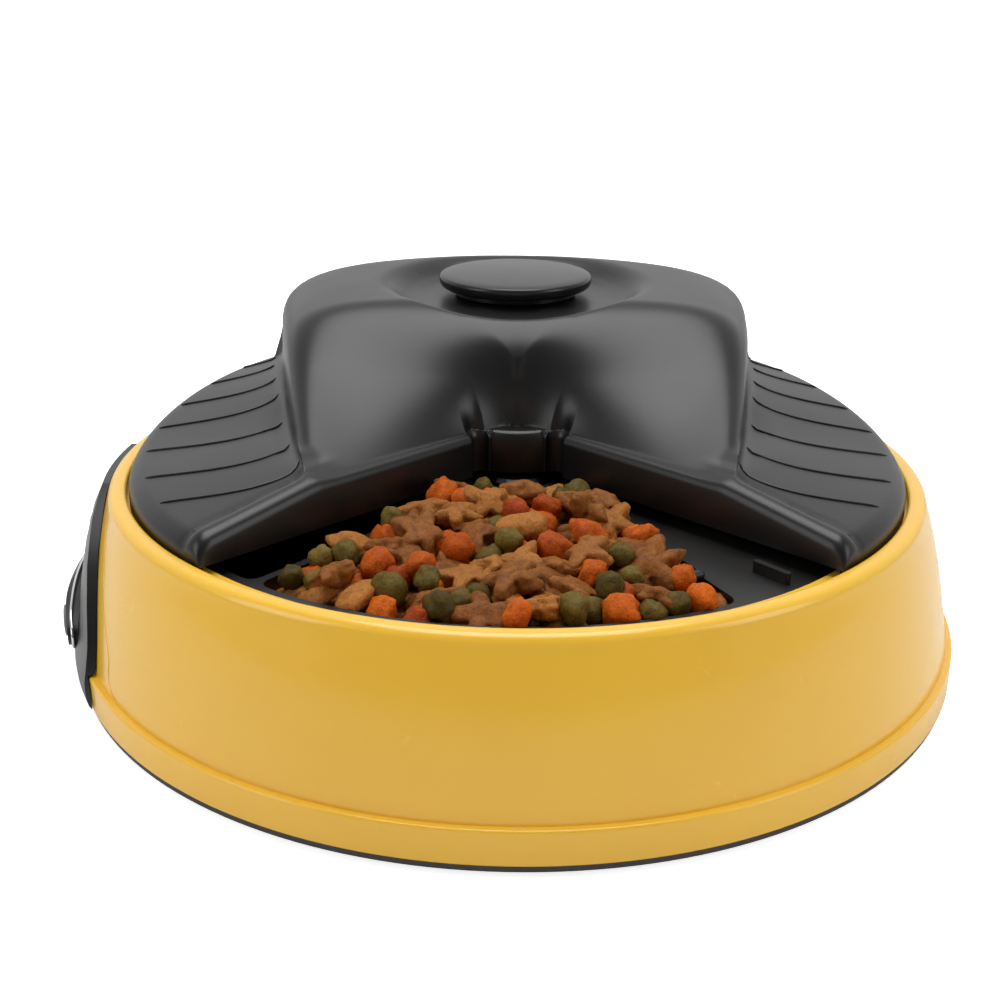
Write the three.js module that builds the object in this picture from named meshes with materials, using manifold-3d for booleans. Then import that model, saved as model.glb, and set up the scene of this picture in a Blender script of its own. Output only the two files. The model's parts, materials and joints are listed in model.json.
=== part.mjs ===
// Automatic pet feeder: a yellow ring-shaped housing with a black lid, and under the lid a carousel tray of
// four food wells and one blank sector. A motor in the base turns the tray, so that the next well comes
// round to the lid's wedge-shaped opening. A knob on the lid's hump drives a bolt that locks the lid.
//
// Millimetres, +Z up. The origin is the centre of the base plate's underside, on the tray's axis.
// The lid's opening faces -Y and the control panel faces -X. An azimuth is counted in degrees from -Y
// towards +X, so the opening is centred on azimuth 0 and the panel on azimuth -90.

import * as THREE from 'three';
import { mergeVertices } from 'three/addons/utils/BufferGeometryUtils.js';
import Module from 'manifold-3d';

const wasm = await Module();
wasm.setup();

// ---------------------------------------------------------------- driving dimensions

const GAP = 0.3;                    // left between pieces that touch
const ROUND = 48;                   // facets of the large rings
const MEDIUM_ROUND = 20;            // facets of hubs, the knob and the motor
const SMALL_ROUND = 12;             // facets of small round pieces

const BASE_RADIUS = 156.9;
const BASE_THICKNESS = 4;
const SHELL_RADIUS = 160;           // at the foot of the yellow shell
const SHELL_FOOT_Z = 3;
const BAND_TOP_Z = 14.6;            // top of the plain band round the shell's foot
const WALL_FOOT_RADIUS = 157.6;     // the tapered wall starts behind the band
const WALL_FOOT_Z = 15.7;
const CREST_Z = 67.2;               // top of the shell's rounded rim
const SHELL_WALL = 2.6;
const REBATE_RADIUS = 139.5;        // the lid drops into this rebate
const LEDGE_Z = 62.6;               // and rests on this ledge
const LEDGE_RADIUS = 132.5;

const DECK_FLOOR_Z = 33;
const DECK_WALL_RADIUS = 134.2;
const DECK_SKIN = 2.2;
const SCREW_CIRCLE = 122;           // deck bosses, base screws
const SCREW_AZIMUTHS = [45, 135, 225, 315];

const TRAY_TOP_Z = 61;
const TRAY_RADIUS = 131.5;
const TRAY_SKIN = 2.2;
const WELL_FLOOR_Z = 38.5;
const WELL_INNER_RADIUS = 30;
const WELL_OUTER_RADIUS = 127;
const WELL_PITCH = 67.5;            // azimuth taken by each of the four wells
const WELL_COUNT = 4;
const FIRST_DIVIDER = -40;          // azimuth where the well in the opening starts
const DIVIDER = 3;
const BLANK_MARGIN = 10;            // the wells beside the blank sector run this far over its edges
const BLANK_TURN = 1.5;             // and their sides there turn this far back

const GEAR_MODULE = 1.5;
const TRAY_TEETH = 48;
const COMPOUND_SMALL_TEETH = 14;
const COMPOUND_LARGE_TEETH = 32;
const MOTOR_TEETH = 12;
const LOCK_TEETH = 12;
const PRESSURE_ANGLE = 20;
const BACKLASH = 0.3;
const LOW_MESH = [17, 22.5];        // heights of the tray gear and the compound gear's small wheel
const HIGH_MESH = [24, 29.5];       // heights of the compound gear's large wheel and the motor pinion
const MOTOR_BEARING = 145;          // direction from the compound gear to the motor, from +X

const LID_RADIUS = 138.6;
const LID_FOOT_Z = 63;
const LID_OPENING_Z = 65.8;         // underside of the opening's two walls
const LID_WALL = 2.5;
const OPENING_HALF_ANGLE = 45;
const HUMP_TOP_Z = 122;
const DISH_Y = 60;                  // dish and knob sit behind the tray's axis
const DISH_RADIUS = 46;
const DISH_FLOOR_Z = 115.5;
const LOCK_Z = [81.5, 86];          // heights of the lock bolt
const FACE_DEPTH = 22;              // how far back the hump's front face leans at its centre
const NOSE_SOFTNESS = 6;            // rounds the face's contours where the two edges of the wedge meet
const BACK_START = 92;              // the hump's roof starts to fall towards the rim at this radius

const PANEL_AZIMUTH = -90;
const BUTTON_COUNT = 5;
const BUTTON_PITCH = 6.2;           // azimuth between two buttons
const BUTTON_RADIUS = 5.6;
const MICROPHONE_AZIMUTH = PANEL_AZIMUTH + 17;
const MICROPHONE_Z = 44;
const PAD_CENTRE_Z = 18;
const PAD_RADIUS = 163.6;

const CELL_RADIUS = 13;             // C cells
const CELL_LENGTH = 50;
const CELL_COLUMNS = [75, 103];
const CELL_Z = 17.7;

// ---------------------------------------------------------------- materials

const plastic = (colour, roughness) =>
  new THREE.MeshStandardMaterial({ color: colour, roughness, metalness: 0 });
const metal = (colour, roughness) =>
  new THREE.MeshStandardMaterial({ color: colour, roughness, metalness: 1 });

const yellow = plastic(0xeebc42, 0.2);
const satinBlack = plastic(0x1c1a1b, 0.38);
const trayBlack = plastic(0x222021, 0.5);
const baseGrey = plastic(0x3c3a3a, 0.6);
const rubber = plastic(0x161616, 0.9);
const acetal = plastic(0xe9e6dc, 0.45);
const buttonGrey = plastic(0x8d8f91, 0.5);
const windowTint = plastic(0x10181a, 0.05);
const boardGreen = plastic(0x1f5a38, 0.5);
const liquidCrystal = plastic(0x93a08a, 0.3);
const cellJacket = plastic(0x2f4f86, 0.4);
const chrome = metal(0xd8dadc, 0.12);
const steel = metal(0x9a9c9f, 0.35);

// ---------------------------------------------------------------- solids

// A closed geometry as a solid. A geometry whose faces point inwards is turned the right way out.
function solid(geometry) {
  const bare = geometry.clone();
  for (const name of Object.keys(bare.attributes)) {
    if (name !== 'position') bare.deleteAttribute(name);
  }
  const merged = mergeVertices(bare, 1e-4);
  const corners = merged.attributes.position.array;
  const triangles = [];
  let volume = 0;
  const index = merged.index.array;
  const a = new THREE.Vector3();
  const b = new THREE.Vector3();
  const c = new THREE.Vector3();
  for (let i = 0; i < index.length; i += 3) {
    const [p, q, r] = [index[i], index[i + 1], index[i + 2]];
    if (p === q || q === r || r === p) continue;
    triangles.push(p, q, r);
    a.fromArray(corners, 3 * p);
    b.fromArray(corners, 3 * q);
    c.fromArray(corners, 3 * r);
    volume += a.dot(b.cross(c));
  }
  if (volume < 0) triangles.reverse();
  return new wasm.Manifold(new wasm.Mesh({
    numProp: 3,
    vertProperties: new Float32Array(corners),
    triVerts: new Uint32Array(triangles),
  }));
}

const joined = (first, ...others) => others.reduce((whole, piece) => whole.add(piece), first);
const cut = (first, ...others) => others.reduce((whole, piece) => whole.subtract(piece), first);

function geometryOf(body) {
  const mesh = body.getMesh();
  const geometry = new THREE.BufferGeometry();
  geometry.setAttribute('position', new THREE.BufferAttribute(new Float32Array(mesh.vertProperties), 3));
  geometry.setIndex(new THREE.BufferAttribute(new Uint32Array(mesh.triVerts), 1));
  const shaded = geometry.toNonIndexed();
  shaded.computeVertexNormals();
  return shaded;
}

function box(x0, x1, y0, y1, z0, z1) {
  const geometry = new THREE.BoxGeometry(x1 - x0, y1 - y0, z1 - z0);
  geometry.translate((x0 + x1) / 2, (y0 + y1) / 2, (z0 + z1) / 2);
  return solid(geometry);
}

// An upright cylinder on a centre [x, y].
function rod(radius, z0, z1, centre = [0, 0], facets = SMALL_ROUND) {
  const geometry = new THREE.CylinderGeometry(radius, radius, z1 - z0, facets);
  geometry.rotateX(Math.PI / 2);
  geometry.translate(centre[0], centre[1], (z0 + z1) / 2);
  return solid(geometry);
}

// A profile of [radius, z] pairs turned about the Z axis. A profile that leaves the axis closes on itself.
function turned(profile, facets = ROUND) {
  const points = profile.map(([radius, z]) => new THREE.Vector2(radius, z));
  if (profile[0][0] > 0) points.push(points[0].clone());
  const geometry = new THREE.LatheGeometry(points, facets);
  geometry.rotateX(Math.PI / 2);
  return solid(geometry);
}

// A flat outline raised from z0 to z1.
function raised(shape, z0, z1, curveSegments = 12) {
  const geometry = new THREE.ExtrudeGeometry(shape, { depth: z1 - z0, bevelEnabled: false, curveSegments });
  geometry.translate(0, 0, z0);
  return solid(geometry);
}

// A flat outline in Y (across) and Z (up), carried along X from x0 to x1.
function raisedAlongX(shape, x0, x1, curveSegments = 8) {
  const geometry = new THREE.ExtrudeGeometry(shape, { depth: x1 - x0, bevelEnabled: false, curveSegments });
  geometry.rotateX(Math.PI / 2);
  geometry.rotateZ(Math.PI / 2);
  geometry.translate(x0, 0, 0);
  return solid(geometry);
}

function roundedRectangle(x0, x1, y0, y1, radius) {
  const shape = new THREE.Shape();
  shape.moveTo(x0 + radius, y0);
  shape.lineTo(x1 - radius, y0);
  shape.absarc(x1 - radius, y0 + radius, radius, -Math.PI / 2, 0);
  shape.lineTo(x1, y1 - radius);
  shape.absarc(x1 - radius, y1 - radius, radius, 0, Math.PI / 2);
  shape.lineTo(x0 + radius, y1);
  shape.absarc(x0 + radius, y1 - radius, radius, Math.PI / 2, Math.PI);
  shape.lineTo(x0, y0 + radius);
  shape.absarc(x0 + radius, y0 + radius, radius, Math.PI, 1.5 * Math.PI);
  return shape;
}

const radians = (degrees) => (degrees * Math.PI) / 180;
const polar = (radius, azimuth) => [
  radius * Math.sin(radians(azimuth)),
  -radius * Math.cos(radians(azimuth)),
];
const clamp = (value) => Math.min(1, Math.max(0, value));
const smooth = (value) => clamp(value) ** 2 * (3 - 2 * clamp(value));

const feeder = new THREE.Group();

function place(name, body, material) {
  const mesh = new THREE.Mesh(geometryOf(body), material);
  mesh.name = name;
  feeder.add(mesh);
}

// ---------------------------------------------------------------- shell and base

// Outer radius of the tapered wall at height z.
function wallRadius(z) {
  const rise = (z - WALL_FOOT_Z) / (CREST_Z - WALL_FOOT_Z);
  return WALL_FOOT_RADIUS - 9 * rise - 4 * rise ** 3;
}

const WALL_HEIGHTS = [30, 44, 54, 62];   // where the tapered wall's facets meet

function outerShell() {
  const outside = [
    [SHELL_RADIUS, SHELL_FOOT_Z],
    [SHELL_RADIUS, BAND_TOP_Z],
    [WALL_FOOT_RADIUS, WALL_FOOT_Z],
    ...WALL_HEIGHTS.map((z) => [wallRadius(z), z]),
  ];
  const rim = [
    [144.6, 66],
    [142, CREST_Z],
    [REBATE_RADIUS, CREST_Z - 1.2],
    [REBATE_RADIUS, LEDGE_Z],
    [LEDGE_RADIUS, LEDGE_Z],
    [LEDGE_RADIUS, LEDGE_Z - 2.2],
    [141, LEDGE_Z - 2.8],
  ];
  const inside = [54, 18].map((z) => [wallRadius(z) - SHELL_WALL, z]);
  const foot = [
    [SHELL_RADIUS - SHELL_WALL, BAND_TOP_Z - 2],
    [SHELL_RADIUS - SHELL_WALL, SHELL_FOOT_Z],
  ];
  const ring = turned([...outside, ...rim, ...inside, ...foot]);
  const panelOpening = raisedAlongX(roundedRectangle(-56, 56, 9, 57, 10), -175, -130);
  return cut(ring, panelOpening);
}

const FOOT_AZIMUTHS = [22.5, 157.5, 202.5, 337.5];
const FOOT_CIRCLE = 138;
const SPEAKER_X = -105;

function basePlate() {
  const disc = turned([
    [0, 0],
    [BASE_RADIUS - 1.2, 0],
    [BASE_RADIUS, 1.2],
    [BASE_RADIUS, BASE_THICKNESS],
    [0, BASE_THICKNESS],
  ]);
  const feet = FOOT_AZIMUTHS.map((azimuth) => rod(9.3, -1, 1.5, polar(FOOT_CIRCLE, azimuth)));
  const screwHoles = SCREW_AZIMUTHS.map((azimuth) => joined(
    rod(3.5, -1, 2.8, polar(SCREW_CIRCLE, azimuth), 8),
    rod(1.9, 2, 5, polar(SCREW_CIRCLE, azimuth), 8),
  ));
  const doorRecess = box(59, 119, -56.4, 67, -1, 2.3);
  const cellOpening = box(62, 116, -53, 53, 1, 5);
  const [slot0, slot1] = [SPEAKER_X - 11, SPEAKER_X + 11];
  const soundSlots = [-12, -6, 0, 6, 12].map((y) => box(slot0, slot1, y - 1.2, y + 1.2, -1, 5));
  return cut(disc, ...feet, ...screwHoles, doorRecess, cellOpening, ...soundSlots);
}

function innerDeck() {
  const bowl = turned([
    [19.2, DECK_FLOOR_Z],
    [DECK_WALL_RADIUS, DECK_FLOOR_Z],
    [DECK_WALL_RADIUS, 57.4],
    [140, 57.4],
    [140, 59.2],
    [DECK_WALL_RADIUS - DECK_SKIN, 59.2],
    [DECK_WALL_RADIUS - DECK_SKIN, DECK_FLOOR_Z + DECK_SKIN],
    [21.2, DECK_FLOOR_Z + DECK_SKIN],
    [19.2, DECK_FLOOR_Z + DECK_SKIN],
  ]);
  const bosses = SCREW_AZIMUTHS.map((azimuth) =>
    rod(4.6, BASE_THICKNESS + GAP, DECK_FLOOR_Z + 1, polar(SCREW_CIRCLE, azimuth)));
  const pilots = SCREW_AZIMUTHS.map((azimuth) => rod(1.9, 0, 17, polar(SCREW_CIRCLE, azimuth), 8));
  return cut(joined(bowl, ...bosses), ...pilots);
}

function centrePost() {
  const foot = BASE_THICKNESS + GAP;
  const tube = [[10.5, foot], [22, foot], [22, 6], [13, 6], [13, 61.6], [10.5, 61.6]];
  const cap = [[0, 61.2], [13, 61.2], [13, 61.8], [11.5, 63.2], [7, 64.2], [0, 64.4]];
  return joined(turned(tube, MEDIUM_ROUND), turned(cap, MEDIUM_ROUND));
}

place('outer_shell', outerShell(), yellow);
place('base_plate', basePlate(), baseGrey);
place('inner_deck', innerDeck(), trayBlack);
place('centre_post', centrePost(), satinBlack);
const bushTop = LOW_MESH[0] - GAP;
place('thrust_bush', turned([[13.3, 6.3], [20, 6.3], [20, bushTop], [13.3, bushTop]], MEDIUM_ROUND), acetal);

FOOT_AZIMUTHS.forEach((azimuth, i) => {
  const [x, y] = polar(FOOT_CIRCLE, azimuth);
  const pad = turned([[0, -1.5], [8, -1.5], [9, -0.6], [9, 1.2], [0, 1.2]], SMALL_ROUND).translate([x, y, 0]);
  place(`rubber_foot_${i + 1}`, pad, rubber);
});

SCREW_AZIMUTHS.forEach((azimuth, i) => {
  const [x, y] = polar(SCREW_CIRCLE, azimuth);
  const screw = cut(
    turned([[0, 0.4], [3, 0.4], [3, 2.4], [1.4, 2.5], [1.4, 14], [0, 15]], 8),
    box(-2.2, 2.2, -0.4, 0.4, 0, 1.2),
  );
  place(`base_screw_${i + 1}`, screw.translate([x, y, 0]), steel);
});

// ---------------------------------------------------------------- gears

// Outline of an involute spur gear. The first tooth points along +X when turn is 0.
function gearShape(teeth, turn = 0, boreRadius = 0) {
  const pitchRadius = (GEAR_MODULE * teeth) / 2;
  const baseRadius = pitchRadius * Math.cos(radians(PRESSURE_ANGLE));
  const tipRadius = pitchRadius + 0.85 * GEAR_MODULE;
  const rootRadius = pitchRadius - 1.2 * GEAR_MODULE;
  const involute = (radius) => {
    const pressure = Math.acos(Math.min(1, baseRadius / radius));
    return Math.tan(pressure) - pressure;
  };
  const halfAtPitch = Math.PI / (2 * teeth) - BACKLASH / (4 * pitchRadius);
  const halfAt = (radius) => halfAtPitch + involute(pitchRadius) - involute(Math.max(radius, baseRadius));
  const flank = [rootRadius, tipRadius];
  const outline = [];
  for (let tooth = 0; tooth < teeth; tooth += 1) {
    const centre = turn + (2 * Math.PI * tooth) / teeth;
    const rising = flank.map((radius) => [radius, centre - halfAt(radius)]);
    const falling = flank.map((radius) => [radius, centre + halfAt(radius)]).reverse();
    for (const [radius, angle] of [...rising, ...falling]) {
      outline.push(new THREE.Vector2(radius * Math.cos(angle), radius * Math.sin(angle)));
    }
  }
  const shape = new THREE.Shape(outline);
  if (boreRadius > 0) {
    const bore = new THREE.Path();
    bore.absarc(0, 0, boreRadius, 0, 2 * Math.PI, true);
    shape.holes.push(bore);
  }
  return shape;
}

const compoundDistance = (GEAR_MODULE * (TRAY_TEETH + COMPOUND_SMALL_TEETH)) / 2;
const motorDistance = (GEAR_MODULE * (COMPOUND_LARGE_TEETH + MOTOR_TEETH)) / 2;
const COMPOUND_AXIS = [0, compoundDistance];
const MOTOR_AXIS = [
  COMPOUND_AXIS[0] + motorDistance * Math.cos(radians(MOTOR_BEARING)),
  COMPOUND_AXIS[1] + motorDistance * Math.sin(radians(MOTOR_BEARING)),
];

// The turn that gives a gear a gap, or a tooth, in the stated direction.
const gapTowards = (teeth, direction) => direction - Math.PI / teeth;

function driveTrain() {
  const sleeveTop = DECK_FLOOR_Z + 3;
  const sleeve = [[13.4, LOW_MESH[0]], [18.5, LOW_MESH[0]], [18.5, sleeveTop], [13.4, sleeveTop]];
  const hub = joined(
    turned(sleeve, MEDIUM_ROUND),
    raised(hexagon(18.5, 13.4), DECK_FLOOR_Z + 2.9, 45),
  );
  place('drive_hub', hub, acetal);

  const trayGear = cut(
    raised(gearShape(TRAY_TEETH, Math.PI / 2, 18.8), ...LOW_MESH),
    ...indexAzimuths().map((azimuth) => rod(1.8, 10, 30, polar(27, azimuth), 8)),
  );
  place('tray_gear', trayGear, acetal);

  const smallTurn = gapTowards(COMPOUND_SMALL_TEETH, -Math.PI / 2);
  const largeTurn = radians(MOTOR_BEARING);
  const compound = cut(
    joined(
      raised(gearShape(COMPOUND_SMALL_TEETH, smallTurn), LOW_MESH[0], HIGH_MESH[0] + 0.5),
      raised(gearShape(COMPOUND_LARGE_TEETH, largeTurn), ...HIGH_MESH),
    ),
    rod(2.35, 0, 40),
  );
  place('compound_gear', compound.translate([...COMPOUND_AXIS, 0]), acetal);
  place('gear_axle', rod(2.2, BASE_THICKNESS + GAP, DECK_FLOOR_Z - GAP, COMPOUND_AXIS), steel);

  const pinionTurn = gapTowards(MOTOR_TEETH, radians(MOTOR_BEARING) + Math.PI);
  const pinion = joined(
    raised(gearShape(MOTOR_TEETH, pinionTurn), ...HIGH_MESH),
    rod(1.5, 19, HIGH_MESH[0] + 1, [0, 0], 12),
  );
  place('motor_pinion', pinion.translate([...MOTOR_AXIS, 0]), acetal);
  const motor = cut(
    joined(
      rod(12, BASE_THICKNESS + GAP, 20.5, MOTOR_AXIS, MEDIUM_ROUND),
      rod(4, 20, 22.5, MOTOR_AXIS),
    ),
    rod(1.9, 18, 24, MOTOR_AXIS, 12),
  );
  place('drive_motor', motor, steel);
}

function hexagon(radius, boreRadius) {
  const corners = [];
  for (let i = 0; i < 6; i += 1) {
    const angle = radians(60 * i);
    corners.push(new THREE.Vector2(radius * Math.cos(angle), radius * Math.sin(angle)));
  }
  const shape = new THREE.Shape(corners);
  if (boreRadius > 0) {
    const bore = new THREE.Path();
    bore.absarc(0, 0, boreRadius, 0, 2 * Math.PI, true);
    shape.holes.push(bore);
  }
  return shape;
}

// Azimuths of the five places where the tray stops: the four wells and the blank sector.
function indexAzimuths() {
  const wells = Array.from({ length: WELL_COUNT }, (_, i) => FIRST_DIVIDER + (0.5 - i) * WELL_PITCH);
  return [...wells, FIRST_DIVIDER + WELL_PITCH + 45];
}

driveTrain();
place('index_sensor', joined(box(-6, 6, -31, -23, 6, 14), box(-4, 4, -29, -25, 13, 16)), satinBlack);

// ---------------------------------------------------------------- food tray

// One side of a well: a line along an azimuth, moved sideways by an offset towards higher azimuths.
function sideAt(radius, side) {
  return side.azimuth + (Math.asin(side.offset / radius) * 180) / Math.PI;
}

function wellSides(index) {
  const low = FIRST_DIVIDER - index * WELL_PITCH;
  const high = low + WELL_PITCH;
  const start = { azimuth: low, offset: DIVIDER / 2 };
  const end = { azimuth: high, offset: -DIVIDER / 2 };
  if (index === 0) {
    end.azimuth -= BLANK_TURN;
    end.offset = BLANK_MARGIN;
  }
  if (index === WELL_COUNT - 1) {
    start.azimuth += BLANK_TURN;
    start.offset = -BLANK_MARGIN;
  }
  return [start, end];
}

function wellShape(index, grow, corner) {
  const [start, end] = wellSides(index);
  start.offset -= grow;
  end.offset += grow;
  const inner = WELL_INNER_RADIUS - grow;
  const outer = WELL_OUTER_RADIUS + grow;
  const slack = (radius) => (corner / radius) * (180 / Math.PI);
  const shape = new THREE.Shape();
  const along = (radius, side) => polar(radius, sideAt(radius, side));
  shape.moveTo(...along(inner + corner, start));
  shape.lineTo(...along(outer - corner, start));
  const outerLow = sideAt(outer, start);
  const outerHigh = sideAt(outer, end);
  shape.quadraticCurveTo(...polar(outer, outerLow), ...polar(outer, outerLow + slack(outer)));
  const steps = 9;
  for (let i = 1; i <= steps; i += 1) {
    const share = i / steps;
    const azimuth = (1 - share) * (outerLow + slack(outer)) + share * (outerHigh - slack(outer));
    shape.lineTo(...polar(outer, azimuth));
  }
  shape.quadraticCurveTo(...polar(outer, outerHigh), ...along(outer - corner, end));
  shape.lineTo(...along(inner + corner, end));
  const innerLow = sideAt(inner, start);
  const innerHigh = sideAt(inner, end);
  shape.quadraticCurveTo(...polar(inner, innerHigh), ...polar(inner, innerHigh - slack(inner)));
  const middle = (innerLow + innerHigh) / 2;
  shape.lineTo(...polar(inner, middle));
  shape.lineTo(...polar(inner, innerLow + slack(inner)));
  shape.quadraticCurveTo(...polar(inner, innerLow), ...along(inner + corner, start));
  return shape;
}

function foodTray() {
  const wells = Array.from({ length: WELL_COUNT }, (_, i) => i);
  const plateUnder = TRAY_TOP_Z - TRAY_SKIN;
  const top = turned([
    [0, plateUnder],
    [TRAY_RADIUS - 2, plateUnder],
    [TRAY_RADIUS - 2, plateUnder - 3.8],
    [TRAY_RADIUS, plateUnder - 3.8],
    [TRAY_RADIUS, TRAY_TOP_Z],
    [0, TRAY_TOP_Z],
  ]);
  const cups = wells.map((i) => raised(wellShape(i, 2, 5), WELL_FLOOR_Z - 2, plateUnder + 1, 4));
  const hub = rod(25, WELL_FLOOR_Z - 2, plateUnder + 1, [0, 0], MEDIUM_ROUND);
  const hollows = wells.map((i) => raised(wellShape(i, 0, 5), WELL_FLOOR_Z, TRAY_TOP_Z + 5, 4));
  const tabAzimuth = 40;
  const tab = raisedAlongX(roundedRectangle(-8, 6, TRAY_TOP_Z - 4, TRAY_TOP_Z + 4.2, 1.6), -0.8, 0.8, 3)
    .subtract(box(-3, 3, -12, 12, TRAY_TOP_Z - 9, TRAY_TOP_Z - 1))
    .translate([0, -119.5, 0])
    .rotate([0, 0, tabAzimuth]);
  const loop = cut(
    box(-3.6, 3.6, -107, -93, TRAY_TOP_Z - 1, TRAY_TOP_Z + 2.2),
    box(-1.5, 1.5, -104.5, -95.5, TRAY_TOP_Z - 3, TRAY_TOP_Z + 5),
  ).rotate([0, 0, FIRST_DIVIDER + WELL_PITCH - BLANK_TURN]).translate([7, 2.6, 0]);
  const tray = cut(
    joined(top, ...cups, hub, tab),
    ...hollows,
    raised(hexagon(18.9, 0), 30, 46),
    rod(14, 40, 70, [0, 0], MEDIUM_ROUND),
  );
  return joined(tray, loop);
}

place('food_tray', foodTray(), trayBlack);

// ---------------------------------------------------------------- lid

// Half width of the hump's foot at a given y.
const humpSide = (y) => 83 + 0.195 * y - 0.00043 * y * y;

// How far up its front face the hump is at a place, from 0 to 1. The face's contours follow the wedge at
// its foot and straighten on the way up.
function frontShare(x, y) {
  const wedge = Math.hypot(x, NOSE_SOFTNESS) - NOSE_SOFTNESS;
  let low = 0;
  let high = 1;
  for (let i = 0; i < 16; i += 1) {
    const share = (low + high) / 2;
    const centre = FACE_DEPTH * (1 - (1 - share ** 1.25) ** (1 / 2.2));
    const contour = centre - wedge * (1 - Math.sqrt(share));
    if (contour < y) low = share;
    else high = share;
  }
  return low;
}

// Height of the lid's skin. inset moves the whole skin inwards, which gives the underside.
function lidHeight(x, y, inset = 0) {
  const radius = Math.hypot(x, y);
  const azimuth = Math.abs((Math.atan2(x, -y) * 180) / Math.PI);
  const edge = 6;
  const rollStart = LID_RADIUS - inset - edge;
  const roll = clamp((radius - rollStart) / edge);
  const plateau = Math.min(81.2, 80.5 - 0.17 * (radius - 95));
  const rise = 8 * smooth((azimuth - 80) / 55);
  const foot = plateau + rise - edge * (1 - Math.sqrt(1 - roll * roll)) - inset;
  const across = clamp(Math.abs(x) / Math.max(1, humpSide(y) - inset));
  const sides = (1 - across ** 3.85) ** (1 / 3.85);
  const backward = clamp((radius - BACK_START) / (LID_RADIUS - 0.6 - inset - BACK_START));
  const back = Math.sqrt(1 - backward ** 2);
  const height = foot + (HUMP_TOP_Z - inset - foot) * sides * frontShare(x, y - 1.4 * inset) * back;
  const fromDish = Math.hypot(x, y - DISH_Y);
  const dish = DISH_FLOOR_Z - inset + 7 * smooth((fromDish - DISH_RADIUS + 4) / 12);
  return fromDish < DISH_RADIUS + 8 ? Math.min(height, dish) : height;
}

// Everything under the lid's skin down to footZ, between the opening's two edges. inset shrinks it all over.
function lidBlock(inset, footZ) {
  const apex = [0, inset * Math.SQRT2];
  const outerRadius = LID_RADIUS - inset;
  const columns = 30;
  const humpShares = [0.1, 0.22, 0.38, 0.56, 0.72, 0.86, 0.95, 1];
  const rimShares = [0.6, 1];
  const corners = [[apex[0], apex[1], lidHeight(...apex, inset)]];
  const grid = [];
  for (let i = 0; i <= columns; i += 1) {
    const share = i / columns;
    const eased = share - 0.09 * Math.sin(2 * Math.PI * share);
    const azimuth = OPENING_HALF_ANGLE + eased * (360 - 2 * OPENING_HALF_ANGLE);
    const [dx, dy] = polar(1, azimuth);
    const reach = -apex[1] * dy + Math.sqrt((apex[1] * dy) ** 2 - apex[1] ** 2 + outerRadius ** 2);
    let foot = 1;
    while (foot < reach - 14 && Math.abs(foot * dx) < humpSide(apex[1] + foot * dy) - inset) foot += 0.5;
    const rimStart = reach - 6;
    const distances = [
      ...humpShares.map((s) => s * foot),
      rimStart,
      ...rimShares.map((s) => rimStart + s * (reach - rimStart)),
    ];
    grid.push(distances.map((distance) => {
      const x = apex[0] + distance * dx;
      const y = apex[1] + distance * dy;
      corners.push([x, y, lidHeight(x, y, inset)]);
      return corners.length - 1;
    }));
  }
  const underApex = corners.push([apex[0], apex[1], footZ]) - 1;
  const underRim = grid.map((column) => {
    const [x, y] = corners[column[column.length - 1]];
    return corners.push([x, y, footZ]) - 1;
  });
  const triangles = [];
  const face = (a, b, c) => triangles.push(a, b, c);
  for (let i = 0; i < columns; i += 1) {
    const [here, next] = [grid[i], grid[i + 1]];
    face(0, here[0], next[0]);
    for (let j = 0; j + 1 < here.length; j += 1) {
      face(here[j], here[j + 1], next[j + 1]);
      face(here[j], next[j + 1], next[j]);
    }
    const last = here.length - 1;
    face(here[last], underRim[i], underRim[i + 1]);
    face(here[last], underRim[i + 1], next[last]);
    face(underApex, underRim[i + 1], underRim[i]);
  }
  const first = [0, ...grid[0]];
  const final = [0, ...grid[columns]];
  for (let j = 0; j + 1 < first.length; j += 1) {
    face(underApex, first[j + 1], first[j]);
    face(underApex, final[j], final[j + 1]);
  }
  face(underApex, underRim[0], first[first.length - 1]);
  face(underApex, final[final.length - 1], underRim[columns]);
  const geometry = new THREE.BufferGeometry();
  geometry.setAttribute('position', new THREE.Float32BufferAttribute(corners.flat(), 3));
  geometry.setIndex(triangles);
  return solid(geometry);
}

const KNOB = [0, DISH_Y];

function lid() {
  const nose = rod(6.5, LID_OPENING_Z, 90, [0, 2.5], 16);
  const block = lidBlock(0, LID_FOOT_Z);
  const hollow = lidBlock(LID_WALL, LID_FOOT_Z - 5);
  const shell = joined(cut(block, hollow), nose);
  return cut(
    shell,
    rod(LID_RADIUS - LID_WALL - 0.2, LID_FOOT_Z - 3, LID_OPENING_Z, [0, 0], ROUND),
    rod(5.4, 100, 130, KNOB, 24),
  );
}

place('lid', lid(), satinBlack);

// ---------------------------------------------------------------- lid lock

const LOCK_PITCH_RADIUS = (GEAR_MODULE * LOCK_TEETH) / 2;
const TOOTH_PITCH = Math.PI * GEAR_MODULE;

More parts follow.
